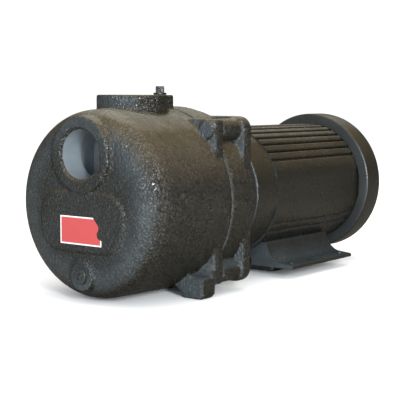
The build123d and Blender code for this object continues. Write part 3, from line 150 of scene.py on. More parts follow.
# ---------------------------------------------------------------- pump casing
# One iron casting: a drum with a rounded front, a square flange, two lugs, a name pad, and a boss
# at each port, plug and bolt. Sand-cast, so every corner is soft, then machined on its ports and
# joint face and sprayed with black gloss enamel, gone dull with dust where it faces up. Its browner,
# lighter tops and grey front faces are partly painted light.
axis_z = 0.080
joint_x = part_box("pump_casing")[1].x
front_x = joint_x - 0.0985
flange_x = joint_x - 0.0115
suction_z = axis_z + 0.0417
drain_z = axis_z - 0.0575
discharge_x = joint_x - 0.0362
gauge_x, gauge_y = joint_x - 0.008, -0.0071
top_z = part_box("pump_casing")[1].z
port_radius = 0.0201
bolt_y = 0.0608
bolt_spots = [(y, axis_z + z) for y in (-bolt_y, bolt_y) for z in (-bolt_y, bolt_y)]
grain_size = 0.00115
suction_boss, discharge_boss = 0.031, 0.0302
gauge_boss, drain_boss, bolt_boss = 0.0115, 0.0122, 0.0074
bolt_hole, gauge_hole, drain_hole = 0.00405, 0.0049, 0.0064
nozzle_seat, venturi_seat = 0.00805, 0.01405


def noise(tree, scale, detail=3.0, roughness=0.5, stretch=(1, 1, 1)):
    """Clouds on the object's own coordinates, each about 1 / scale metres across."""
    place = add(tree, "ShaderNodeTexCoord")
    squeeze = add(tree, "ShaderNodeMapping", Scale=stretch)
    clouds = add(tree, "ShaderNodeTexNoise", Scale=scale, Detail=detail, Roughness=roughness)
    tree.links.new(place.outputs["Object"], squeeze.inputs["Vector"])
    tree.links.new(squeeze.outputs["Vector"], clouds.inputs["Vector"])
    return clouds.outputs["Fac"]


def carry(tree, value, start, end, low=0.0, high=1.0):
    """A value carried from the span start to end on to the span low to high, and held at both ends."""
    node = add(tree, "ShaderNodeMapRange", From_Min=start, From_Max=end, To_Min=low, To_Max=high)
    tree.links.new(value, node.inputs["Value"])
    return node.outputs["Result"]


def times(tree, first, second):
    """The product of two values."""
    node = add(tree, "ShaderNodeMath", operation="MULTIPLY")
    tree.links.new(first, node.inputs[0])
    tree.links.new(second, node.inputs[1])
    return node.outputs[0]


def blend_of(tree, amount, first, second):
    """The first colour where amount is 0 and the second where it is 1."""
    node = add(tree, "ShaderNodeMix", data_type="RGBA")
    tree.links.new(amount, node.inputs[0])
    for socket, colour in ((node.inputs[6], first), (node.inputs[7], second)):
        if isinstance(colour, tuple):
            socket.default_value = (*colour, 1)
        else:
            tree.links.new(colour, socket)
    return node.outputs[2]


def bumps(tree, shader, *layers):
    """Bump layers, each a height, a strength and a depth in metres, one on top of the other."""
    below = None
    for height, strength, depth in layers:
        node = add(tree, "ShaderNodeBump", Strength=strength, Distance=depth)
        tree.links.new(height, node.inputs["Height"])
        if below:
            tree.links.new(below, node.inputs["Normal"])
        below = node.outputs["Normal"]
    tree.links.new(below, shader.inputs["Normal"])


def enamel(name, grain, relief, gloss=(0.19, 0.33), dust_and_top_light=0.9, front_sheen=1.0):
    """Black enamel: bumps of the casting's grain, patchy gloss that sparkles, and a film of dust.

    The dust is beige on top and brown on slopes, with painted warm top light in both, or grey on both
    near the floor. A thin grey painted sheen of the cool front light lies on what faces forward,
    weaker near the shaft axis.
    """
    material, tree, shader = finish(name)
    patches = noise(tree, 38, 5, 0.6)
    specks = noise(tree, grain, 3, 0.6)
    facing = add(tree, "ShaderNodeNewGeometry")
    split = add(tree, "ShaderNodeSeparateXYZ")
    tree.links.new(facing.outputs["Normal"], split.inputs[0])
    # Dust with painted warm top light: beige where the surface faces up, brown on slopes, grey instead
    # near the floor.
    broken = carry(tree, patches, 0.35, 0.65, 0.6, 1.0)
    dust_and_light_on_slopes = times(tree, carry(tree, split.outputs["Z"], 0.2, 0.8, 0.0, dust_and_top_light), broken)
    dust_and_light_on_tops = times(tree, carry(tree, split.outputs["Z"], 0.75, 1.0, 0.0, dust_and_top_light), broken)
    place = add(tree, "ShaderNodeTexCoord")
    height = add(tree, "ShaderNodeSeparateXYZ")
    tree.links.new(place.outputs["Object"], height.inputs[0])
    raised = carry(tree, height.outputs["Z"], 0.035, 0.095)
    # Painted light: a grey sheen of the cool front light on what faces forward, weaker near the shaft
    # axis.
    from_axis = add(tree, "ShaderNodeMapping", Scale=(0, 1, 1), Location=(0, 0, -axis_z))
    reach = add(tree, "ShaderNodeVectorMath", operation="LENGTH")
    tree.links.new(place.outputs["Object"], from_axis.inputs["Vector"])
    tree.links.new(from_axis.outputs["Vector"], reach.inputs[0])
    sheen_by_axis_distance = carry(tree, reach.outputs["Value"], 0.045, 0.072, 0.3, 1.0)
    ahead_facing = carry(tree, split.outputs["X"], -0.98, -0.6, front_sheen, 0.0)
    painted_front_sheen = times(tree, times(tree, ahead_facing, sheen_by_axis_distance), broken)
    dark = (0.007, 0.0062, 0.0042)
    lighter = tuple(2.2 * channel for channel in dark)
    paint = blend_of(tree, carry(tree, specks, 0.4, 0.75), dark, lighter)
    grey, brown, beige = (0.042, 0.052, 0.057), (0.072, 0.054, 0.029), (0.21, 0.205, 0.17)
    paint = blend_of(tree, painted_front_sheen, paint, grey)
    paint = blend_of(tree, dust_and_light_on_slopes, paint, blend_of(tree, raised, grey, brown))
    paint = blend_of(tree, dust_and_light_on_tops, paint, blend_of(tree, raised, grey, beige))
    tree.links.new(paint, shader.inputs["Base Color"])
    tree.links.new(carry(tree, patches, 0.3, 0.7, *gloss), shader.inputs["Roughness"])
    sparkle = carry(tree, noise(tree, grain, 1), 0.44, 0.64, 0.25, 1.0)
    tree.links.new(sparkle, shader.inputs["Specular IOR Level"])
    swells, grit = noise(tree, grain / 3, 2), carry(tree, specks, 0.36, 0.64)
    bumps(tree, shader, (swells, relief, 0.0008), (grit, relief, 0.0005))
    return material


def mesh_from(name, points, faces):
    """A mesh from an array of points and a list of faces."""
    mesh = bpy.data.meshes.new(name)
    mesh.from_pydata([tuple(p) for p in np.asarray(points).tolist()], [], [tuple(f) for f in faces])
    mesh.update()
    return mesh


def rounded(corners, radii, pieces=7):
    """A closed outline with each corner replaced by an arc that touches both its sides."""
    corners = np.asarray(corners, float)
    out = []
    for k, (corner, radius) in enumerate(zip(corners, radii)):
        before = corners[k - 1] - corner
        after = corners[(k + 1) % len(corners)] - corner
        before, after = before / np.linalg.norm(before), after / np.linalg.norm(after)
        half = math.acos(np.clip(before @ after, -1, 1)) / 2
        if radius <= 0:
            out.append(corner[None])
            continue
        middle = corner + (before + after) / np.linalg.norm(before + after) * radius / math.sin(half)
        first = corner + before * radius / math.tan(half) - middle
        last = corner + after * radius / math.tan(half) - middle
        swing = math.atan2(first[0] * last[1] - first[1] * last[0], first @ last)
        t = np.linspace(0, swing, pieces)[:, None]
        across = np.array([-first[1], first[0]])
        out.append(middle + first * np.cos(t) + across * np.sin(t))
    return np.vstack(out)


def turned(profile, steps=160, about=(0.0, axis_z), along="x", ring=False):
    """A solid of revolution: profile point (a, r) goes round the axis as r cos t and r sin t.

    The first and last profile points are closed with flat discs, or in a ring with each other.
    The axis runs along x through (y, z) = about, or along z through (x, y) = about.
    """
    profile = np.asarray(profile, float)
    t = np.arange(steps) * 2 * math.pi / steps
    a = np.repeat(profile[:, 0], steps)
    u = (profile[:, 1][:, None] * np.cos(t)).ravel() + about[0]
    v = (profile[:, 1][:, None] * np.sin(t)).ravel() + about[1]
    points = np.stack([a, u, v] if along == "x" else [u, v, a], 1)
    rings = len(profile)
    k = np.arange(rings if ring else rings - 1)[:, None] * steps
    m = (k + steps) % (rings * steps)
    j = np.arange(steps)
    n = (j + 1) % steps
    faces = np.stack([k + j, k + n, m + n, m + j], -1).reshape(-1, 4).tolist()
    if not ring:
        faces.append(range(steps - 1, -1, -1))
        faces.append(range((rings - 1) * steps, rings * steps))
    return points, faces


def carried(outline, stations, along="x"):
    """A prism: a closed outline (y, z) carried along x, or (x, y) along z, through the stations."""
    outline = np.asarray(outline, float)
    count = len(outline)
    a = np.repeat(np.asarray(stations, float), count)[:, None]
    rows = np.tile(outline, (len(stations), 1))
    points = np.hstack([a, rows] if along == "x" else [rows, a])
    k = np.arange(len(stations) - 1)[:, None] * count
    j = np.arange(count)
    n = (j + 1) % count
    faces = np.stack([k + j, k + n, k + count + n, k + count + j], -1).reshape(-1, 4).tolist()
    faces.append(range(count - 1, -1, -1))
    faces.append(range((len(stations) - 1) * count, len(stations) * count))
    return points, faces


def disc(radius, start, end, about=(0.0, axis_z), along="x", steps=64):
    """A plain cylinder between two stations."""
    return turned([(start, radius), (end, radius)], steps, about, along)


def stadium(radius, low, high, start, end):
    """A round-ended bar, upright in (y, z), carried from start to end along x."""
    t = np.linspace(0, math.pi, 33)
    upper = np.stack([radius * np.cos(t), high + radius * np.sin(t)], 1)
    lower = np.stack([-radius * np.cos(t), low - radius * np.sin(t)], 1)
    return carried(np.vstack([upper, lower]), (start, end))


def plate_outline(half_width, low, high, radius):
    """A rectangle in (y, z) with round corners."""
    square = [(-half_width, low), (half_width, low), (half_width, high), (-half_width, high)]
    return rounded(square, (radius,) * 4)


def solid(name, *shells):
    """Closed shells gathered in one object, with their faces turned outwards."""
    points, faces, count = [], [], 0
    for shell_points, shell_faces in shells:
        points.append(shell_points)
        faces += [[i + count for i in face] for face in shell_faces]
        count += len(shell_points)
    mesh = mesh_from(name, np.vstack(points), faces)
    shape = bmesh.new()
    shape.from_mesh(mesh)
    bmesh.ops.recalc_face_normals(shape, faces=shape.faces)
    shape.to_mesh(mesh)
    shape.free()
    piece = bpy.data.objects.new(name, mesh)
    scene.collection.objects.link(piece)
    return piece


def settle(piece):
    """Applies a piece's modifiers to its mesh."""
    graph = bpy.context.evaluated_depsgraph_get()
    mesh = bpy.data.meshes.new_from_object(piece.evaluated_get(graph))
    piece.modifiers.clear()
    piece.data = mesh
    return piece


def cast(piece, passes):
    """Runs the shells together as metal in a mould does, then relaxes every corner and crease."""
    merge = piece.modifiers.new("merge", "REMESH")
    merge.mode = "VOXEL"
    merge.voxel_size = grain_size
    relax = piece.modifiers.new("relax", "SMOOTH")
    relax.factor = 0.5
    relax.iterations = passes
    return settle(piece)


def combine(piece, other, operation):
    """Cuts another object's shape from a piece, or joins it on, and removes the other object."""
    change = piece.modifiers.new("change", "BOOLEAN")
    change.operation = operation
    change.solver = "MANIFOLD"
    change.object = other
    settle(piece)
    bpy.data.objects.remove(other)


def machine(piece, *shells, operation="DIFFERENCE"):
    """Cuts closed shells from a piece, or joins them on."""
    combine(piece, solid("cutter", *shells), operation)


def complete(piece, body, *materials, stands_for, angle=35.0):
    """Smooth shading with crisp edges past the angle, then the finish, the body and the CAD node."""
    mesh = piece.data
    mesh.shade_smooth()
    mesh.set_sharp_from_angle(angle=math.radians(angle))
    mesh.materials.clear()
    for material in materials:
        mesh.materials.append(material)
    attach(piece, body)
    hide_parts(stands_for)


def lug(side):
    """Foot lug: an upright block that spreads into the drum, on one side of the middle."""
    outline = [
        (0.0690, 0.0180),
        (0.0690, 0.0030),
        (0.0660, 0.0000),
        (0.0480, 0.0000),
        (0.0462, 0.0030),
        (0.0390, 0.0090),
        (0.0360, 0.0220),
    ]
    return carried([(side * y, z) for y, z in outline], (flange_x - 0.016, flange_x + 0.001))


drum = rounded(
    [(front_x, 0.001), (front_x, 0.0775), (joint_x, 0.0795), (joint_x, 0.001)],
    (0, 0.021, 0.0008, 0),
    pieces=14,
)
half_flange = 0.0698
shells = [
    turned(drum, 224),
    carried(
        plate_outline(half_flange, axis_z - half_flange, axis_z + half_flange, 0.0035),
        (flange_x, joint_x),
    ),
    lug(1),
    lug(-1),
    carried(
        plate_outline(0.045, axis_z - 0.037, axis_z + 0.0105, 0.020),
        (front_x - 0.0019, front_x + 0.004),
    ),
    disc(suction_boss, front_x - 0.0035, front_x + 0.020, (0, suction_z)),
    disc(discharge_boss, top_z - 0.030, top_z, (discharge_x, 0), "z"),
    disc(gauge_boss, top_z - 0.026, top_z, (gauge_x, gauge_y), "z"),
    disc(drain_boss, front_x - 0.0022, front_x + 0.010, (0, drain_z)),
]
shells += [disc(bolt_boss, flange_x - 0.0028, flange_x + 0.002, spot) for spot in bolt_spots]
casing = cast(solid("casing", *shells), 9)

# joint face, hollow, and the walls and pocket behind the ports
beyond = [(-0.2, -0.1), (0.2, -0.1), (0.2, 0.3), (-0.2, 0.3)]
machine(casing, carried(beyond, (joint_x, joint_x + 0.03)))
hollow = rounded(
    [
        (front_x + 0.0065, 0.001),
        (front_x + 0.0065, 0.071),
        (joint_x - 0.002, 0.073),
        (joint_x - 0.002, 0.0705),
        (joint_x + 0.001, 0.0705),
        (joint_x + 0.001, 0.001),
    ],
    (0, 0.0145, 0, 0, 0, 0),
)
machine(casing, turned(hollow, 128))
pocket_x, pocket_radius, pocket_depth = front_x + 0.020, 0.021, 0.017
wall = 0.005
port_wall = port_radius + 0.0055
pocket_wall = stadium(
    pocket_radius + wall, axis_z, suction_z, pocket_x - wall, pocket_x + pocket_depth + wall
)
machine(casing, pocket_wall, operation="UNION")
suction_wall = disc(port_wall, front_x + 0.003, pocket_x - 0.003, (0, suction_z))
machine(casing, suction_wall, operation="UNION")
discharge_wall = disc(port_wall, top_z - 0.024, top_z - 0.008, (discharge_x, 0), "z")
machine(casing, discharge_wall, operation="UNION")
machine(casing, stadium(pocket_radius, axis_z, suction_z, pocket_x, pocket_x + pocket_depth))

# ports with their chamfers, threads for plugs and bolts, and the injector's two seats
mouth = [
    (front_x - 0.006, port_radius + 0.0047),
    (front_x - 0.0013, port_radius),
    (pocket_x + 0.001, port_radius),
]
machine(casing, turned(mouth, 96, (0, suction_z)))
mouth = [
    (top_z - 0.0245, port_radius),
    (top_z - 0.0022, port_radius),
    (top_z + 0.002, port_radius + 0.0042),
]
machine(casing, turned(mouth, 96, (discharge_x, 0), "z"))
machine(casing, disc(0.045, top_z - 0.0003, top_z + 0.004, (discharge_x + 0.012, 0), "z"))
machine(casing, disc(gauge_hole, top_z - 0.013, top_z + 0.002, (gauge_x, gauge_y), "z"))
machine(casing, disc(drain_hole, front_x - 0.006, front_x + 0.019, (0, drain_z)))
machine(casing, disc(nozzle_seat, pocket_x - 0.006, pocket_x + 0.001))
machine(casing, disc(venturi_seat, pocket_x + 0.016, pocket_x + 0.023))
for spot in bolt_spots:
    machine(casing, disc(bolt_hole, joint_x - 0.011, joint_x + 0.001, spot))

cast_enamel = enamel("cast_enamel", grain=560, relief=1.0)
bare_iron, tree, shader = finish("bored_iron")
tree.links.new(
    blend_of(tree, noise(tree, 120, 4), (0.15, 0.18, 0.20), (0.22, 0.25, 0.27)),
    shader.inputs["Base Color"],
)
shader.inputs["Metallic"].default_value = 0.3
shader.inputs["Roughness"].default_value = 0.5
bumps(tree, shader, (noise(tree, 900, 2), 0.3, 0.0003))
complete(casing, "pump_body", cast_enamel, bare_iron, stands_for="pump_casing")
count = len(casing.data.polygons)
centres = np.empty(count * 3)
casing.data.polygons.foreach_get("center", centres)
x, y, z = centres.reshape(-1, 3).T
slack = 0.0001
in_suction = (np.hypot(y, z - suction_z) < port_radius + 2 * slack) & (x < pocket_x + slack)
off_middle = np.hypot(y, z - np.clip(z, axis_z, suction_z))
in_pocket = off_middle < pocket_radius + 2 * slack
in_pocket &= (x > pocket_x - slack) & (x < pocket_x + pocket_depth + slack)
in_discharge = (np.hypot(x - discharge_x, y) < port_radius + 2 * slack) & (z > top_z - 0.026)
bored = (in_suction | in_pocket | in_discharge).astype(np.int32)
casing.data.polygons.foreach_set("material_index", bored)

# ---------------------------------------------------------------- name label
# A printed vinyl sticker pressed on to the casting's name pad: plain red with a white border, and
# torn at its right edge.
label_low, label_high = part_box("name_label")
label_y, label_z = (label_low.y + label_high.y) / 2, (label_low.z + label_high.z) / 2
label_width, label_height = label_high.y - label_low.y, label_high.z - label_low.z
bite = np.radians(np.linspace(125, 250, 13))[:, None]
bite_outline = (0.0215, -0.0020) + 0.0040 * np.hstack([np.cos(bite), np.sin(bite)])
# The tear runs down from the top edge to a round bite. Seen from in front, right is towards -Y.
outline = np.vstack(
    [
        [(-label_width / 2, -label_height / 2), (-label_width / 2, label_height / 2)],
        [(0.0135, label_height / 2), (0.0195, 0.0045)],
        bite_outline,
        [(label_width / 2, -0.0066), (label_width / 2, -label_height / 2)],
    ]
)
outline = outline * (-1, 1) + (label_y, label_z)
label = solid("label", carried(outline, (label_low.x, label_low.x + 0.0004)))
vinyl, tree, shader = finish("printed_vinyl")
place = add(tree, "ShaderNodeTexCoord")
centred = add(tree, "ShaderNodeMapping", Location=(0, -label_y, -label_z))
split = add(tree, "ShaderNodeSeparateXYZ")
tree.links.new(place.outputs["Object"], centred.inputs["Vector"])
tree.links.new(centred.outputs["Vector"], split.inputs[0])
border = 0.0012
sides = []
for socket, length in (("Y", label_width), ("Z", label_height)):
    size = add(tree, "ShaderNodeMath", operation="ABSOLUTE")
    tree.links.new(split.outputs[socket], size.inputs[0])
    sides.append(carry(tree, size.outputs[0], length / 2 - border, length / 2 - border + 0.0002))
either = add(tree, "ShaderNodeMath", operation="MAXIMUM")
tree.links.new(sides[0], either.inputs[0])
tree.links.new(sides[1], either.inputs[1])
red = blend_of(tree, noise(tree, 160, 5, 0.7), (0.40, 0.042, 0.044), (0.36, 0.055, 0.055))
tree.links.new(
    blend_of(tree, either.outputs[0], red, (0.62, 0.59, 0.585)), shader.inputs["Base Color"]
)
shader.inputs["Roughness"].default_value = 0.42
bumps(tree, shader, (noise(tree, 420, 3), 0.25, 0.0004))
complete(label, "pump_body", vinyl, stands_for="name_label")

# ---------------------------------------------------------------- gauge plug and drain plug
# Steel pipe plugs screwed in before the casing was sprayed: a square head on top, and low on the
# front a recessed square that paint has nearly filled. Their edges are broken, as forged ones are.


def broken_edges(piece, width, past):
    """Breaks every edge sharper than an angle, in degrees, with a small round."""
    edges = piece.modifiers.new("edges", "BEVEL")
    edges.width = width
    edges.segments = 2
    edges.limit_method = "ANGLE"
    edges.angle_limit = math.radians(past)
    settle(piece)


def eased(node, width, material):
    """A CAD node's shape with its facets merged and every sharp edge broken by a small round."""
    mesh = nodes[node].data.copy()
    shape = bmesh.new()
    shape.from_mesh(mesh)
    bmesh.ops.remove_doubles(shape, verts=shape.verts, dist=2e-6)
    bmesh.ops.dissolve_limit(
        shape, angle_limit=math.radians(0.5), verts=shape.verts, edges=shape.edges
    )
    shape.to_mesh(mesh)
    shape.free()
    piece = bpy.data.objects.new(node + "_eased", mesh)
    scene.collection.objects.link(piece)
    broken_edges(piece, width, 35)
    complete(piece, "pump_body", material, stands_for=node, angle=30)


plug_enamel = enamel("plug_enamel", grain=1100, relief=0.3, dust_and_top_light=0.25, front_sheen=0.3)
eased("gauge_plug", 0.0004, plug_enamel)
drain_low, drain_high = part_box("drain_plug")
plug_radius = 0.00635
plug_profile = rounded(
    [
        (drain_low.x, 0.001),
        (drain_low.x, plug_radius),
        (drain_high.x, plug_radius),
        (drain_high.x, 0.001),
    ],
    (0, 0.0009, 0.0009, 0),
)
drain = solid("drain_plug_painted", turned(plug_profile, 64, (0, drain_z)))
socket = plate_outline(0.003, drain_z - 0.003, drain_z + 0.003, 0.0006)
machine(drain, carried(socket, (drain_low.x - 0.001, drain_low.x + 0.0007)))
complete(drain, "pump_body", cast_enamel, stands_for="drain_plug")

# ---------------------------------------------------------------- lantern bracket
# The second iron casting, between casing and motor: a short drum with a square plate behind it,
# a column round each bolt, and a neck that the motor is screwed to. Cast and sprayed like the first.
bracket_x = joint_x + 0.001
bracket_end = bracket_x + 0.0353
plate_x = bracket_end - 0.0113
motor_x = bracket_end + 0.0292
bracket_radius, spigot_radius, neck_radius, column_radius = 0.0798, 0.07045, 0.050, 0.0092
bracket_bore, neck_bore = 0.0738, 0.042
seal_cavity, seal_cup_seat, shaft_hole, neck_recess = 0.017, 0.01405, 0.0090, 0.024
screw_hole = 0.00305
body_of_drum = [
    (bracket_x, bracket_radius),
    (plate_x, bracket_radius),
    (plate_x + 0.0021, bracket_radius - 0.0021),
    (bracket_end, bracket_radius - 0.0021),
]
shells = [
    turned(body_of_drum, 224),
    carried(plate_outline(0.0730, axis_z - 0.0717, axis_z + 0.0717, 0.011), (plate_x, bracket_end)),
    disc(spigot_radius, bracket_x - 0.0065, bracket_x + 0.003, steps=160),
    disc(neck_radius, bracket_end - 0.003, motor_x, steps=128),
]
shells += [disc(column_radius, bracket_x, plate_x + 0.002, spot) for spot in bolt_spots]
bracket = cast(solid("bracket", *shells), 8)
hollow = [
    (bracket_x + 0.008, 0.022),
    (bracket_x + 0.008, bracket_bore),
    (plate_x, bracket_bore),
    (plate_x, neck_bore),
    (motor_x - 0.007, neck_bore),
    (motor_x - 0.007, 0.001),
    (joint_x + 0.017, 0.001),
    (joint_x + 0.017, 0.022),
]
machine(bracket, turned(hollow, 96, ring=True))
machine(bracket, disc(seal_cavity, bracket_x - 0.008, joint_x + 0.0072))
machine(bracket, disc(seal_cup_seat, bracket_x - 0.008, joint_x + 0.0145))
machine(bracket, disc(shaft_hole, bracket_x - 0.008, joint_x + 0.018))
machine(bracket, disc(neck_recess, motor_x - 0.008, motor_x + 0.001))
for spot in bolt_spots:
    machine(bracket, disc(bolt_hole, bracket_x - 0.001, bracket_end + 0.001, spot))
quarters = np.radians([45, 135, 225, 315])
screw_spots = [(0.035 * math.cos(a), axis_z + 0.035 * math.sin(a)) for a in quarters]
for spot in screw_spots:
    machine(bracket, disc(screw_hole, motor_x - 0.008, motor_x + 0.001, spot))
complete(bracket, "pump_body", cast_enamel, stands_for="motor_bracket")

# ---------------------------------------------------------------- casing bolts, washers and gasket
# Four hexagon bolts with plain washers, sprayed over with the pump, and the fibre gasket between
# the two castings, whose edge shows as a thin dark line.
bolt_enamel = enamel("bolt_enamel", grain=1300, relief=0.2, dust_and_top_light=0.2, front_sheen=0.8)
eased("casing_bolts", 0.0004, bolt_enamel)
eased("bolt_washers", 0.0002, bolt_enamel)


def dressed(material, *names):
    """Gives CAD nodes their finish."""
    for name in names:
        mesh = nodes[name].data
        mesh.materials.clear()
        mesh.materials.append(material)


def plain(name, low, high, rough, metallic=0.0, grain=700, relief=0.15, stretch=(1, 1, 1)):
    """A metal, moulding or rubber: two shades in clouds, uneven roughness and a fine grain."""
    material, tree, shader = finish(name)
    clouds = noise(tree, 90, 4, stretch=stretch)
    tree.links.new(
        blend_of(tree, carry(tree, clouds, 0.3, 0.7), low, high), shader.inputs["Base Color"]
    )
    tree.links.new(
        carry(tree, clouds, 0.3, 0.7, rough - 0.06, rough + 0.06), shader.inputs["Roughness"]
    )
    shader.inputs["Metallic"].default_value = metallic
    bumps(tree, shader, (noise(tree, grain, 3, stretch=stretch), relief, 0.0003))
    return material


gasket_fibre = plain("gasket_fibre", (0.13, 0.12, 0.10), (0.20, 0.18, 0.15), 0.85, grain=1500)
dressed(gasket_fibre, "casing_gasket")

# ---------------------------------------------------------------- front end shield
# Die-cast aluminium end of the motor, turned on its rim, with the bearing's housing inside. Four
# screws hold it to the bracket's neck, and it is sprayed smoother than the castings.
frame_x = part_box("front_end_shield")[1].x - 0.005
rim_radius, register_radius, housing_radius = 0.0602, 0.05345, 0.0250
bearing_seat, shaft_clearance = 0.02005, 0.0104
smooth_enamel = enamel("smooth_enamel", grain=1200, relief=0.3, dust_and_top_light=0.55)
rim = rounded(
    [
        (motor_x, shaft_clearance),
        (motor_x, rim_radius),
        (frame_x, rim_radius),
        (frame_x, register_radius),
        (frame_x + 0.005, register_radius),
        (frame_x + 0.005, 0.0495),
        (motor_x + 0.008, 0.0495),
        (motor_x + 0.008, housing_radius),
        (motor_x + 0.020, housing_radius),
        (motor_x + 0.020, bearing_seat),
        (motor_x + 0.006, bearing_seat),
        (motor_x + 0.006, shaft_clearance),
    ],
    (0, 0.0022, 0.0015, 0, 0, 0, 0, 0, 0, 0, 0, 0),
)
shield = solid("shield", turned(rim, 192, ring=True))
for spot in screw_spots:
    machine(shield, disc(screw_hole, motor_x - 0.001, motor_x + 0.013, spot, steps=32))
complete(shield, "pump_body", smooth_enamel, stands_for="front_end_shield")

# ---------------------------------------------------------------- motor frame and foot
# Extruded aluminium barrel with cooling grooves above and below, a plain flat on each side, and a
# wide foot with hollow-curved flanks under it. A collar is turned on its front end. Its edges are
# as the die and the saw left them.
barrel_radius, flat_y = 0.0605, 0.0576
frame_end = frame_x + 0.163
collar_end, collar_radius = frame_x + 0.009, 0.0587
barrel_bore, foot_hole = 0.0535, 0.0035
edge_angle = math.asin(math.sqrt(1 - (flat_y / barrel_radius) ** 2))
groove = np.array(
    [(-2.5, 0), (-1.9, 0.12), (-1.5, 0.42), (-1.2, 1.1), (-1.0, 3.4), (0, 3.4)]
) / 1000
groove = np.vstack([groove, groove[-2::-1] * (-1, 1)])
crest = np.array([(-2.5, 0), (0, 0), (2.5, 0)]) / 1000
parts = []
for k in range(41):
    angle = math.radians(90 + k * 8.6)
    height = barrel_radius * math.sin(angle)
    if -0.025 < height < 0.029:
        continue
    stretch = crest if height < -0.0435 else groove
    theta = angle + stretch[:, 0] / barrel_radius
    radius = barrel_radius - stretch[:, 1]
    parts.append(np.stack([radius * np.cos(theta), radius * np.sin(theta)], 1))
for side in (0, math.pi):
    theta = side + np.linspace(-edge_angle, edge_angle, 5)
    radius = flat_y / np.cos(theta - side)
    parts.append(np.stack([radius * np.cos(theta), radius * np.sin(theta)], 1))
outline = np.vstack(parts)
outline[:, 0] = np.clip(outline[:, 0], -flat_y, flat_y)
outline = outline[np.argsort(np.arctan2(outline[:, 1], outline[:, 0]))] + (0, axis_z)
barrel = solid("motor_barrel", carried(outline, (collar_end, frame_end)))
collar = disc(collar_radius, frame_x, collar_end + 0.002, steps=192)
machine(barrel, collar, operation="UNION")

foot_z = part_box("motor_frame")[0].z
toe, heel, root = np.array(
    [(0.0585, foot_z + 0.0047), (0.048, foot_z + 0.00975), (0.0415, foot_z + 0.0227)]
)
pull = 2 * heel - (toe + root) / 2
s = np.linspace(0, 1, 15)[:, None]
sweep = (1 - s) ** 2 * toe + 2 * s * (1 - s) * pull + s**2 * root
flank = np.vstack([[(0.0715, foot_z), (0.0715, foot_z + 0.0032)], sweep, [(0.030, axis_z - 0.048)]])
foot = solid("foot", carried(np.vstack([flank, flank[::-1] * (-1, 1)]), (-0.055, 0.055)))
broken_edges(foot, 0.0007, 40)
combine(barrel, foot, "UNION")
machine(barrel, disc(barrel_bore, frame_x - 0.001, frame_end + 0.001, steps=160))
recess = [(-0.025, -0.001), (0.025, -0.001), (0.025, 0.007), (-0.025, 0.007)]
recess = np.array(recess) + (0, foot_z)
for start in (-0.056, 0.034):
    machine(barrel, carried(recess, (start, start + 0.022)))
for x in (-0.045, 0.045):
    for y in (-0.064, 0.064):
        machine(barrel, disc(foot_hole, foot_z - 0.001, foot_z + 0.02, (x, y), "z", 32))
complete(barrel, "pump_body", smooth_enamel, stands_for="motor_frame", angle=32)

# ---------------------------------------------------------------- support pad
# A cast block under the motor's foot that brings it level with the casing's lugs. It is sprayed
# with the motor, and its edges are broken.
eased("support_pad", 0.0008, smooth_enamel)

# ---------------------------------------------------------------- rear end shield and tie rods
# The motor's rear plate with its bearing pocket, sprayed with the motor and drawn up against the
# frame by four long zinc-plated rods. The screws in the bracket's neck are plated too.
zinc = plain("zinc_plate", (0.42, 0.42, 0.38), (0.58, 0.57, 0.53), 0.34, metallic=1.0)
dressed(smooth_enamel, "rear_end_shield")
dressed(zinc, "tie_rods", "bracket_screws")

# ---------------------------------------------------------------- fan cover
# A deep-drawn steel cap with a rolled lip round the barrel and two rings of slots in its back.
# Its enamel is smoother than the castings'.
cover_low, cover_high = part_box("fan_cover")
cover_radius, cover_wall, cover_lip, cover_round = 0.071, 0.002, 0.0018, 0.006
lip_radius, grille_middle, grille_back = 0.0608, 0.010, cover_high.x - 0.004
cover_screw_ring, cover_screw_hole = 0.0555, 0.00205
wall_profile = rounded(
    [
        (cover_low.x, lip_radius),
        (cover_low.x, cover_radius),
        (cover_high.x, cover_radius),
        (cover_high.x, grille_middle),
        (cover_high.x - cover_wall, grille_middle),
        (cover_high.x - cover_wall, cover_radius - cover_wall),
        (cover_low.x + cover_lip, cover_radius - cover_wall),
        (cover_low.x + cover_lip, lip_radius),
    ],
    (0, 0.0024, cover_round, 0, 0, cover_round - cover_wall, 0.0008, 0),
)
cover = solid("cover", turned(wall_profile, 224, ring=True))
middle = disc(grille_middle + 0.0002, cover_high.x - cover_wall, cover_high.x)
machine(cover, middle, operation="UNION")
slot_half = 0.0016
for low, high in ((0.016, 0.029), (0.033, 0.046)):
    ring_of_slots = []
    for k in range(20):
        a = 2 * math.pi * k / 20
        t = np.radians(np.linspace(-90, 90, 9))
        outer = np.stack([high - slot_half + slot_half * np.cos(t), slot_half * np.sin(t)], 1)
        inner = np.stack([low + slot_half - slot_half * np.cos(t), -slot_half * np.sin(t)], 1)
        bar = np.vstack([outer, inner])
        spin = np.array([(math.cos(a), math.sin(a)), (-math.sin(a), math.cos(a))])
        bar = bar @ spin + (0, axis_z)
        ring_of_slots.append(carried(bar, (grille_back, cover_high.x + 0.001)))
    machine(cover, *ring_of_slots)
for a in quarters:
    spot = (cover_screw_ring * math.cos(a), axis_z + cover_screw_ring * math.sin(a))
    machine(cover, disc(cover_screw_hole, grille_back, cover_high.x + 0.001, spot, steps=32))
cover_enamel = enamel("cover_enamel", 1500, 0.14, gloss=(0.30, 0.45), dust_and_top_light=0.5, front_sheen=0.5)
complete(cover, "pump_body", cover_enamel, stands_for="fan_cover", angle=30)
eased("fan_cover_screws", 0.0002, zinc)

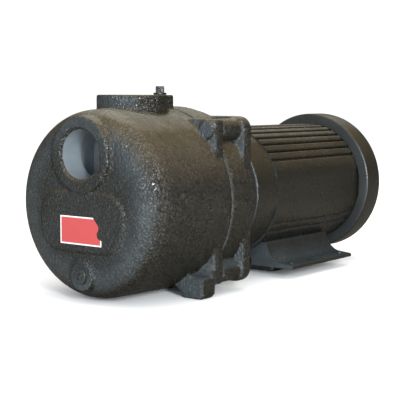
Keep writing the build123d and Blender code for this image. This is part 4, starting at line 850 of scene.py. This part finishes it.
# ---------------------------------------------------------------- terminal box
# A moulded box with its lid on the motor's far side, a rubber gasket between them, four screws,
# a gland for the lead underneath, and the terminal block and run capacitor inside.
eased("terminal_box", 0.0006, cover_enamel)
eased("terminal_cover", 0.0010, cover_enamel)
eased("terminal_cover_screws", 0.0002, zinc)
rubber = plain("black_rubber", (0.018, 0.018, 0.018), (0.032, 0.031, 0.030), 0.72, grain=1200)
nylon = plain("black_nylon", (0.020, 0.020, 0.021), (0.034, 0.034, 0.035), 0.42, grain=1400)
dressed(rubber, "terminal_gasket")
eased("cable_gland", 0.0004, nylon)
eased("gland_nut", 0.0005, nylon)
dressed(nylon, "terminal_block")
can = plain("drawn_can", (0.62, 0.62, 0.63), (0.74, 0.74, 0.75), 0.3, 1.0, stretch=(0.1, 1, 1))
dressed(can, "run_capacitor")

# ---------------------------------------------------------------- jet, impeller and diffuser
# The injector's turned brass nozzle and moulded venturi, and the moulded impeller and diffuser of
# the one pumping stage, with the stainless key, washer and nut that hold the impeller.
brass = plain("turned_brass", (0.60, 0.41, 0.19), (0.74, 0.54, 0.28), 0.3, 1.0, stretch=(12, 1, 1))
moulding = plain("grey_moulding", (0.10, 0.10, 0.11), (0.15, 0.15, 0.16), 0.5, grain=1600)
stainless = plain("stainless", (0.52, 0.52, 0.50), (0.66, 0.66, 0.64), 0.27, 1.0, stretch=(10, 1, 1))
dressed(brass, "jet_nozzle")
dressed(moulding, "venturi_tube", "impeller", "diffuser")
dressed(stainless, "impeller_key", "impeller_washer", "impeller_nut")
dressed(rubber, "venturi_oring", "water_slinger")

# ---------------------------------------------------------------- mechanical seal
# A lapped ceramic seat in a rubber cup stands still, and a carbon ring turns on it, pressed by a
# stainless spring round a rubber bellows.
ceramic = plain("lapped_ceramic", (0.78, 0.75, 0.68), (0.86, 0.84, 0.79), 0.2, grain=2000, relief=0.04)
carbon = plain("lapped_carbon", (0.035, 0.035, 0.036), (0.07, 0.07, 0.07), 0.38, grain=2000)
dressed(ceramic, "seal_seat")
dressed(carbon, "seal_face_ring")
dressed(rubber, "seal_cup", "seal_bellows")
dressed(stainless, "seal_spring")

# ---------------------------------------------------------------- shaft and bearings
# A ground stainless shaft in two sealed ball bearings with moulded cages. A wave washer behind the
# rear one takes up the end play.
ground_steel = plain(
    "ground_steel", (0.56, 0.56, 0.57), (0.72, 0.72, 0.73), 0.16, 1.0, relief=0.05, stretch=(8, 1, 1)
)
cage_nylon = plain("cage_nylon", (0.17, 0.15, 0.12), (0.24, 0.21, 0.17), 0.5, grain=1200)
blued = plain("blued_steel", (0.20, 0.21, 0.25), (0.33, 0.33, 0.36), 0.3, 1.0)
dressed(stainless, "motor_shaft")
for end in ("front", "rear"):
    dressed(ground_steel, *(f"{end}_bearing_{part}" for part in ("balls", "inner_race", "outer_race")))
    dressed(cage_nylon, f"{end}_bearing_cage")
dressed(blued, "wave_washer", "fan_clip")

# ---------------------------------------------------------------- cores, windings and fan
# Stacked steel laminations with varnished copper coils, a rotor with die-cast aluminium rings, and
# a moulded fan on the shaft's end.
laminations = plain(
    "laminations", (0.22, 0.22, 0.23), (0.42, 0.42, 0.43), 0.45, 1.0, 500, 0.4, (20, 0.2, 0.2)
)
copper = plain("varnished_copper", (0.42, 0.14, 0.06), (0.66, 0.29, 0.14), 0.3, 0.8, 350, 0.5)
aluminium = plain("cast_aluminium", (0.58, 0.58, 0.58), (0.74, 0.74, 0.74), 0.42, 1.0)
dressed(laminations, "stator_core", "rotor_core")
dressed(copper, "stator_winding")
dressed(aluminium, "rotor_end_rings")
dressed(nylon, "cooling_fan")
